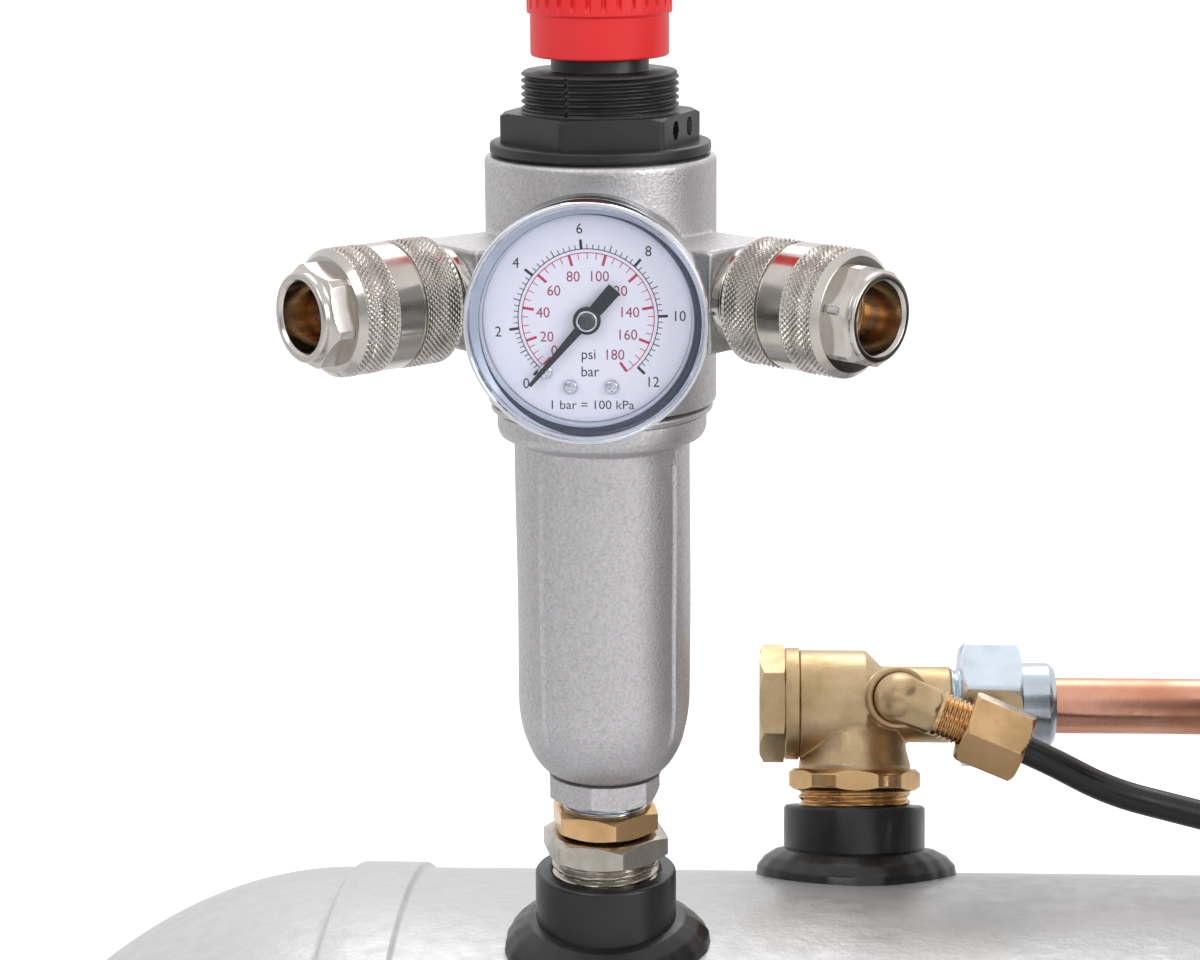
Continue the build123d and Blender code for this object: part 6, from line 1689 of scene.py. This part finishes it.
@dataclass
class CheckValve:
    """Forged brass check valve with its cap, elbow, nuts and the copper delivery pipe."""

    station: Station
    axis_height: float = 36.2
    hex_low: float = 17.7
    hex_high: float = 22.3
    hex_flats: float = 27.0
    barrel_radius: float = 11.6
    barrel_left: float = -12.0
    barrel_right: float = 4.0
    outlet_radius: float = 8.2
    outlet_end: float = 20.5
    boss_x: float = 8.6
    boss_rise: float = 1.4
    boss_radius: float = 6.6
    elbow_reach: float = 21.8
    boss_reach: float = 15.8
    ball_radius: float = 5.3
    arm_slope: float = 22.0
    arm_length: float = 15.2
    nut_length: float = 12.5
    port_left: float = 26.0
    port_behind: float = 12.0
    pipe_radius: float = 6.0
    pipe_bend: float = 24.0
    pipe_first_run: float = 78.0
    pipe_gap: float = 0.5
    union_face: float = 2.0
    union_collar: float = 14.7
    union_sleeve: float = 7.5

    def build(self) -> None:
        """Make the valve, the elbow and the pipe."""
        place = self.station.check()
        barrel = place.inner((0, 0, self.axis_height), (0, 0, -1), (1, 0, 0))
        self._forging(place, barrel)
        self._cap(barrel)
        self._elbow(place)
        self._pipe(barrel)

    def _forging(self, place: Place, barrel: Place) -> None:
        """Forged tee in one skin, and its machined hexagon and thread."""
        low, high = self.hex_low, self.hex_high
        left, right, radius = self.barrel_left, self.barrel_right, self.barrel_radius
        neck = [
            (0, high - 2), (12.0, high - 2), (12.0, high + 1, 1.0), (11.2, high + 4, 1.0), (10.4, 32),
            (0, 32),
        ]
        tube = [
            (0, left), (radius, left), (radius, right - 1.7, 0.8), (radius - 1.7, right, 0.8),
            (self.outlet_radius, right + 1.7, 0.8), (self.outlet_radius, self.outlet_end),
            (0, self.outlet_end),
        ]
        boss_place = place.inner((self.boss_x, 0, self.axis_height + self.boss_rise), (1, 0, 0), (0, -1, 0))
        reach = self.boss_reach
        boss = [
            (0, 0), (self.boss_radius, 0), (self.boss_radius, reach, 0.7), (5.3, reach, 0.3),
            (5.1, reach - 2), (0, reach - 2),
        ]
        parts = [
            solid("neck", place, neck, 160),
            solid("tube", barrel, tube, 160),
            solid("boss", boss_place, boss, 128),
        ]
        piece = melted("check_valve_forging", parts, 0.24, 5)
        finished(piece, FORGED_BRASS, STATIC, "check_valve_body")
        outline = softened(
            [
                (9, 6), (12.1, 6), (12.1, low, 0.2), (13.1, low, 0.2), (14.2, low + 0.9, 0.4),
                (14.2, high - 0.9, 0.4), (13.2, high, 0.2), (9, high),
            ],
            True,
        )
        shape = chained(hexagonal(self.hex_flats, 0, low, high, 70), threaded(1.8, 0.7, 12, low, 11))
        piece = turned("check_valve_hexagon", place, refined(outline, 0.15, 13, high, True), 360, shape)
        finished(piece, TURNED_BRASS, STATIC)

    def _cap(self, barrel: Place) -> None:
        """Screw cap with its flange and hexagon."""
        flange, face, end = self.barrel_left, self.barrel_left - 3.1, self.barrel_left - 8.5
        outline = softened(
            [
                (3.1, end), (11.2, end, 0.2), (12.87, end + 1.0, 0.3), (12.87, face - 0.2, 0.3),
                (11.3, face, 0.2), (12.1, face + 0.1, 0.3), (12.1, flange, 0.2), (8.9, flange),
                (8.9, flange + 2.4), (3.1, flange + 2.4),
            ],
            True,
        )
        rows = refined(outline, 0.16, end, face, True)
        piece = turned("check_valve_cap_shown", barrel, rows, 360, hexagonal(22.3, 0, end, face, 70))
        finished(piece, FORGED_BRASS, STATIC, "check_valve_cap")

    def _elbow(self, place: Place) -> None:
        """Unloader elbow, its thread and nut."""
        slope = math.radians(self.arm_slope)
        corner = (self.boss_x, -self.elbow_reach, self.axis_height + self.boss_rise)
        shank_place = place.inner((self.boss_x, 0, corner[2]), (1, 0, 0), (0, -1, 0))
        arm_place = place.inner(corner, (0, 1, 0), (math.cos(slope), 0, -math.sin(slope)))
        reach = self.elbow_reach
        shank = solid("shank", shank_place, [(0, 11), (4.8, 11), (4.8, reach), (0, reach)], 128)
        turns = [math.radians(degrees) for degrees in range(0, 181, 6)]
        half_circle = [
            (self.ball_radius * math.sin(turn), -self.ball_radius * math.cos(turn))
            for turn in turns
        ]
        ball = turned("ball", arm_place, half_circle, 96, closed=False)
        blank = softened([(0, 0), (5.45, 0), (5.2, 7.6, 0.8), (4.2, 9.2, 0.5), (0, 9.2)], False)
        rows = refined(blank, 0.5, 0, 9)
        arm = turned("arm", arm_place, rows, 192, hexagonal(9.7, 0, 0, 8, 40), closed=False)
        piece = melted("elbow_forging", [shank, ball, arm], 0.24, 5)
        finished(piece, FORGED_BRASS, STATIC, "unloader_fittings")
        tip = self.arm_length + 1
        screw = softened([(3.1, 7), (4.75, 7), (4.75, tip), (3.1, tip)], True, 0.1)
        shape = threaded(1.0, 0.5, 9.0, tip, 4.2)
        thread = turned("elbow_thread", arm_place, refined(screw, 0.1, 8, 16, True), 288, shape)
        finished(thread, TURNED_BRASS, STATIC)
        start, end = self.arm_length - 0.6, self.arm_length + self.nut_length
        nut = softened(
            [
                (4.8, start), (7.0, start, 0.2), (8.08, start + 0.9, 0.2), (8.08, end - 1.0, 0.2),
                (6.9, end, 0.3), (3.4, end, 0.2), (3.1, end - 0.5), (3.1, start + 2), (4.8, start + 2),
            ],
            True,
        )
        shape = hexagonal(14, 10, start, end)
        piece = turned("unloader_nut", arm_place, refined(nut, 0.2, start, end, True), 360, shape)
        finished(piece, TURNED_BRASS, STATIC)
        port_low = node_box("pressure_switch_base")[0].z
        switch = self.station.switch().origin
        port = Vector((switch.x - self.port_left * MM, switch.y + self.port_behind * MM, port_low))
        port_place = Place(port, X_AXIS, -Z_AXIS)
        port_outline = softened([(3.1, 0), (6.93, 0), (6.93, 12.2), (6.0, 13, 0.2), (3.1, 13)], True)
        rows = refined(port_outline, 0.4, 0, 13, True)
        piece = turned("unloader_port", port_place, rows, 180, hexagonal(12, 0, 0, 13))
        finished(piece, TURNED_BRASS, STATIC)

    def _nut(self, name: str, place: Place, start: float) -> Piece:
        """Steel union nut with its round collar.

        Args:
            name: Name of the nut.
            place: Frame with Z along the pipe, away from the fitting.
            start: Where the fitting ends.

        Returns:
            The nut.
        """
        face, collar = start + self.union_face, start + self.union_collar
        end = collar + self.union_sleeve
        outline = softened(
            [
                (6.1, start), (7.8, start), (7.8, face), (12.1, face, 0.2), (13.86, face + 1.1, 0.3),
                (13.86, collar - 0.9, 0.3), (12.2, collar, 0.3), (9.15, collar, 0.4),
                (9.15, end - 1.2, 0.9), (7.9, end, 0.3), (6.1, end),
            ],
            True,
        )
        shape = chained(hexagonal(24, 15, face, collar), threaded(1.3, 0.5, start, face, 7))
        return turned(name, place, refined(outline, 0.2, start, collar, True), 360, shape)

    def _pipe(self, barrel: Place) -> None:
        """Copper pipe from the check valve up to the head, with its two nuts."""
        low, high = node_box("delivery_pipe")
        inset = self.pipe_radius * MM
        start = Vector((low.x, high.y - inset, low.z + inset))
        end = Vector((high.x, low.y + inset, high.z - inset))
        turn_x = start.x + self.pipe_first_run * MM
        corners = [start, Vector((turn_x, start.y, start.z)), Vector((turn_x, end.y, end.z)), end]
        pipe = swept("delivery_pipe_shown", rounded_route(corners, self.pipe_bend, 3.0), self.pipe_radius, 64)
        finished(pipe, DRAWN_COPPER, STATIC, "delivery_pipe")
        finished(self._nut("lower_pipe_nut", barrel, self.outlet_end), BLUE_ZINC, STATIC, "pipe_nuts")
        seat = end.x + self.pipe_gap * MM
        upper = Place(Vector((seat + self.outlet_end * MM, end.y, end.z)), Z_AXIS, -X_AXIS)
        finished(self._nut("upper_pipe_nut", upper, self.outlet_end), BLUE_ZINC, STATIC)


@dataclass
class Machinery:
    """The rest of the machine: solids that keep their shape, some with broken edges."""

    def build(self) -> None:
        """Dress every solid that nothing above stands for."""
        softened_solids = {
            "foot_bracket": (TANK_ENAMEL, 0.5), "wheel_bracket": (TANK_ENAMEL, 0.5),
            "pump_platform": (TANK_ENAMEL, 0.5), "crankcase": (DIE_CAST, 0.8),
            "crankcase_cover": (DIE_CAST, 0.6), "cylinder": (PAINTED_IRON, 0.5),
            "cylinder_head": (DIE_CAST, 0.5), "motor_housing": (DIE_CAST, 0.5),
            "terminal_box": (TEXTURED_ABS, 0.8), "pressure_switch_base": (TEXTURED_ABS, 0.6),
            "pressure_switch_cover": (TEXTURED_ABS, 0.8), "air_filter": (TEXTURED_ABS, 0.5),
            "manifold": (FORGED_BRASS, 0.4), "rubber_mounts": (MOULDED_RUBBER, 0.6),
            "fan_cowl": (TEXTURED_ABS, 0.4),
        }
        plain_solids = {
            "handle_tube": TANK_ENAMEL, "handle_grip": MOULDED_RUBBER, "front_wheel": TYRE_RUBBER,
            "rear_wheel": TYRE_RUBBER, "wheel_bolts": BLUE_ZINC, "head_bolts": BLUE_ZINC,
            "oil_sight_glass": WINDOW, "oil_breather": RED_ABS, "piston": MACHINED,
            "connecting_rod": MACHINED, "crankshaft": GROUND_STEEL, "cooling_fan": TEXTURED_ABS,
            "check_valve_poppet": MOULDED_RUBBER, "unloader_tube": BLACK_TUBE,
            "pressure_switch_knob": RED_ABS, "safety_valve": TURNED_BRASS, "safety_valve_ring": BLUE_ZINC,
            "tank_gauge": CHROME, "drain_valve": TURNED_BRASS, "drain_knob": TEXTURED_ABS,
            "regulator_screw": GROUND_STEEL, "regulator_spring": GROUND_STEEL,
        }
        for node, (finish, edge) in softened_solids.items():
            finished(pruned_copy(node, edge), finish, STATIC, node)
        for node, finish in plain_solids.items():
            self._dress(node, finish)

    def _dress(self, node: str, finish: "Finish | ClearPlastic") -> None:
        """Give a solid that stays its finish."""
        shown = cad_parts[node]
        material = finish.build()
        if not shown.material_slots:
            shown.data.materials.append(material)
        for slot in shown.material_slots:
            slot.material = material
        LOG.info("dressed %s", node)


@dataclass
class Studio:
    """Pale floor, soft light and the camera at the photograph's angle."""

    station: Station
    camera_x: float = 25.75
    camera_y: float = -532.94
    camera_z: float = 223.35
    aim_height: float = 80.0
    yaw: float = 0.04931
    pitch: float = 0.23901
    roll: float = -0.00758
    lens: float = 87.03
    world_strength: float = 0.8
    floor_glow: float = 0.55
    dark_side: float = 0.3
    dark_way: tuple[float, float, float] = (-0.75, -0.66, 0.0)
    sensor: float = 36.0

    def build(self) -> None:
        """Make the camera, floor, world and lamps."""
        self._camera()
        self._floor()
        self._world()
        self._lamp("key", (1.5, -0.9, 0.6), 0.8, 11.0)
        self._lamp("fill", (-0.8, -1.3, 1.3), 0.9, 6.0)
        self._lamp("back", (0.1, 1.2, 1.3), 1.0, 7.0)
        bpy.context.scene.view_settings.view_transform = "Standard"

    def _camera(self) -> None:
        """Camera solved from the photograph."""
        data = bpy.data.cameras.new("camera")
        data.lens = self.lens
        data.sensor_width = self.sensor
        data.clip_start = 0.01
        camera = placed("camera", data)
        level = math.cos(self.pitch)
        ahead = Vector((-math.sin(self.yaw) * level, math.cos(self.yaw) * level, -math.sin(self.pitch)))
        right = Vector((math.cos(self.yaw), math.sin(self.yaw), 0))
        up = right.cross(ahead)
        tilted_right = right * math.cos(self.roll) + up * math.sin(self.roll)
        tilted_up = up * math.cos(self.roll) - right * math.sin(self.roll)
        turn = Matrix((tilted_right, tilted_up, -ahead)).transposed().to_4x4()
        where = self.station.outlet().at(self.camera_x, self.camera_y, self.camera_z)
        camera.matrix_world = Matrix.Translation(where) @ turn
        bpy.context.scene.camera = camera

    def _seen(self, tree: Tree, lit: float) -> Socket:
        """Strength that is 1 where the camera or glass looks, and less where it lights."""
        path = add_node(tree, "ShaderNodeLightPath")
        rays = {0: path.outputs["Is Camera Ray"], 1: path.outputs["Is Transmission Ray"]}
        both = add_node(tree, "ShaderNodeMath", rays, operation="MAXIMUM").outputs[0]
        span = {"Value": both, "To Min": lit, "To Max": 1.0}
        return add_node(tree, "ShaderNodeMapRange", span).outputs["Result"]

    def _floor(self) -> None:
        """Pale floor that is white to the camera away from the machine's shadow."""
        bpy.ops.mesh.primitive_plane_add(size=30, location=(0, 0, 0))
        floor = bpy.context.object
        floor.name = "floor"
        material = blank_material("pale_floor")
        tree = material.node_tree
        matt = add_node(tree, "ShaderNodeBsdfDiffuse", {"Color": linear("#F4F4F4")})
        path = add_node(tree, "ShaderNodeLightPath")
        shine = {"Color": linear("#FFFFFF"), "Strength": self.floor_glow}
        glow = add_node(tree, "ShaderNodeEmission", shine)
        both = add_node(tree, "ShaderNodeAddShader", {0: matt.outputs["BSDF"], 1: glow.outputs["Emission"]})
        layers = {0: path.outputs["Is Camera Ray"], 1: matt.outputs["BSDF"], 2: both.outputs["Shader"]}
        mix = add_node(tree, "ShaderNodeMixShader", layers)
        add_node(tree, "ShaderNodeOutputMaterial", {"Surface": mix.outputs["Shader"]})
        floor.data.materials.append(material)

    def _world(self) -> None:
        """Light tent: bright above and behind, darker to the left of the viewer."""
        world = bpy.data.worlds.new("tent")
        bpy.context.scene.world = world
        world.use_nodes = True
        tree = world.node_tree
        tree.nodes.clear()
        view = add_node(tree, "ShaderNodeTexCoord").outputs["Generated"]
        ways = {0: view, 1: self.dark_way}
        toward = add_node(tree, "ShaderNodeVectorMath", ways, operation="DOT_PRODUCT").outputs["Value"]
        fall = {"Value": toward, "From Min": 0.45, "From Max": 0.95, "To Min": 1.0, "To Max": self.dark_side}
        side = add_node(tree, "ShaderNodeMapRange", fall).outputs["Result"]
        height = add_node(tree, "ShaderNodeSeparateXYZ", {"Vector": view}).outputs["Z"]
        climb = {"Value": height, "From Min": 0.15, "From Max": 0.6, "To Min": 0.0, "To Max": 1.0}
        above = add_node(tree, "ShaderNodeMapRange", climb).outputs["Result"]
        brighter = add_node(tree, "ShaderNodeMath", {0: side, 1: above}, operation="MAXIMUM")
        seen = self._seen(tree, self.world_strength)
        path = add_node(tree, "ShaderNodeLightPath")
        tent = add_node(tree, "ShaderNodeMix", {0: path.outputs["Is Glossy Ray"]}, data_type="FLOAT")
        tree.links.new(seen, tent.inputs[2])
        tree.links.new(brighter.outputs[0], tent.inputs[3])
        shine = {"Color": linear("#FFFFFF"), "Strength": tent.outputs[0]}
        sky = add_node(tree, "ShaderNodeBackground", shine)
        add_node(tree, "ShaderNodeOutputWorld", {"Surface": sky.outputs["Background"]})

    def _lamp(self, name: str, where: Sequence[float], size: float, power: float) -> None:
        """Square soft lamp that looks at the regulator.

        Args:
            name: Name of the lamp.
            where: Place in metres from the outlet's foot.
            size: Side in metres.
            power: Power in watts.
        """
        data = bpy.data.lights.new(name, "AREA")
        data.energy = power
        data.size = size
        lamp = placed(name, data)
        target = self.station.outlet().at(0, 0, self.aim_height)
        lamp.location = target + Vector(where)
        lamp.rotation_euler = (target - lamp.location).to_track_quat("-Z", "Y").to_euler()


def main() -> None:
    """Build the looks of the machine in order."""
    logging.basicConfig(level=logging.INFO, format="%(name)s %(message)s")
    station = Station()
    Studio(station).build()
    Tank(station).build()
    RegulatorColumn(station).build()
    Gauge(station).build()
    for side in Side:
        Coupler(station, side).build()
    CheckValve(station).build()
    Machinery().build()


if __name__ == "__main__":
    main()
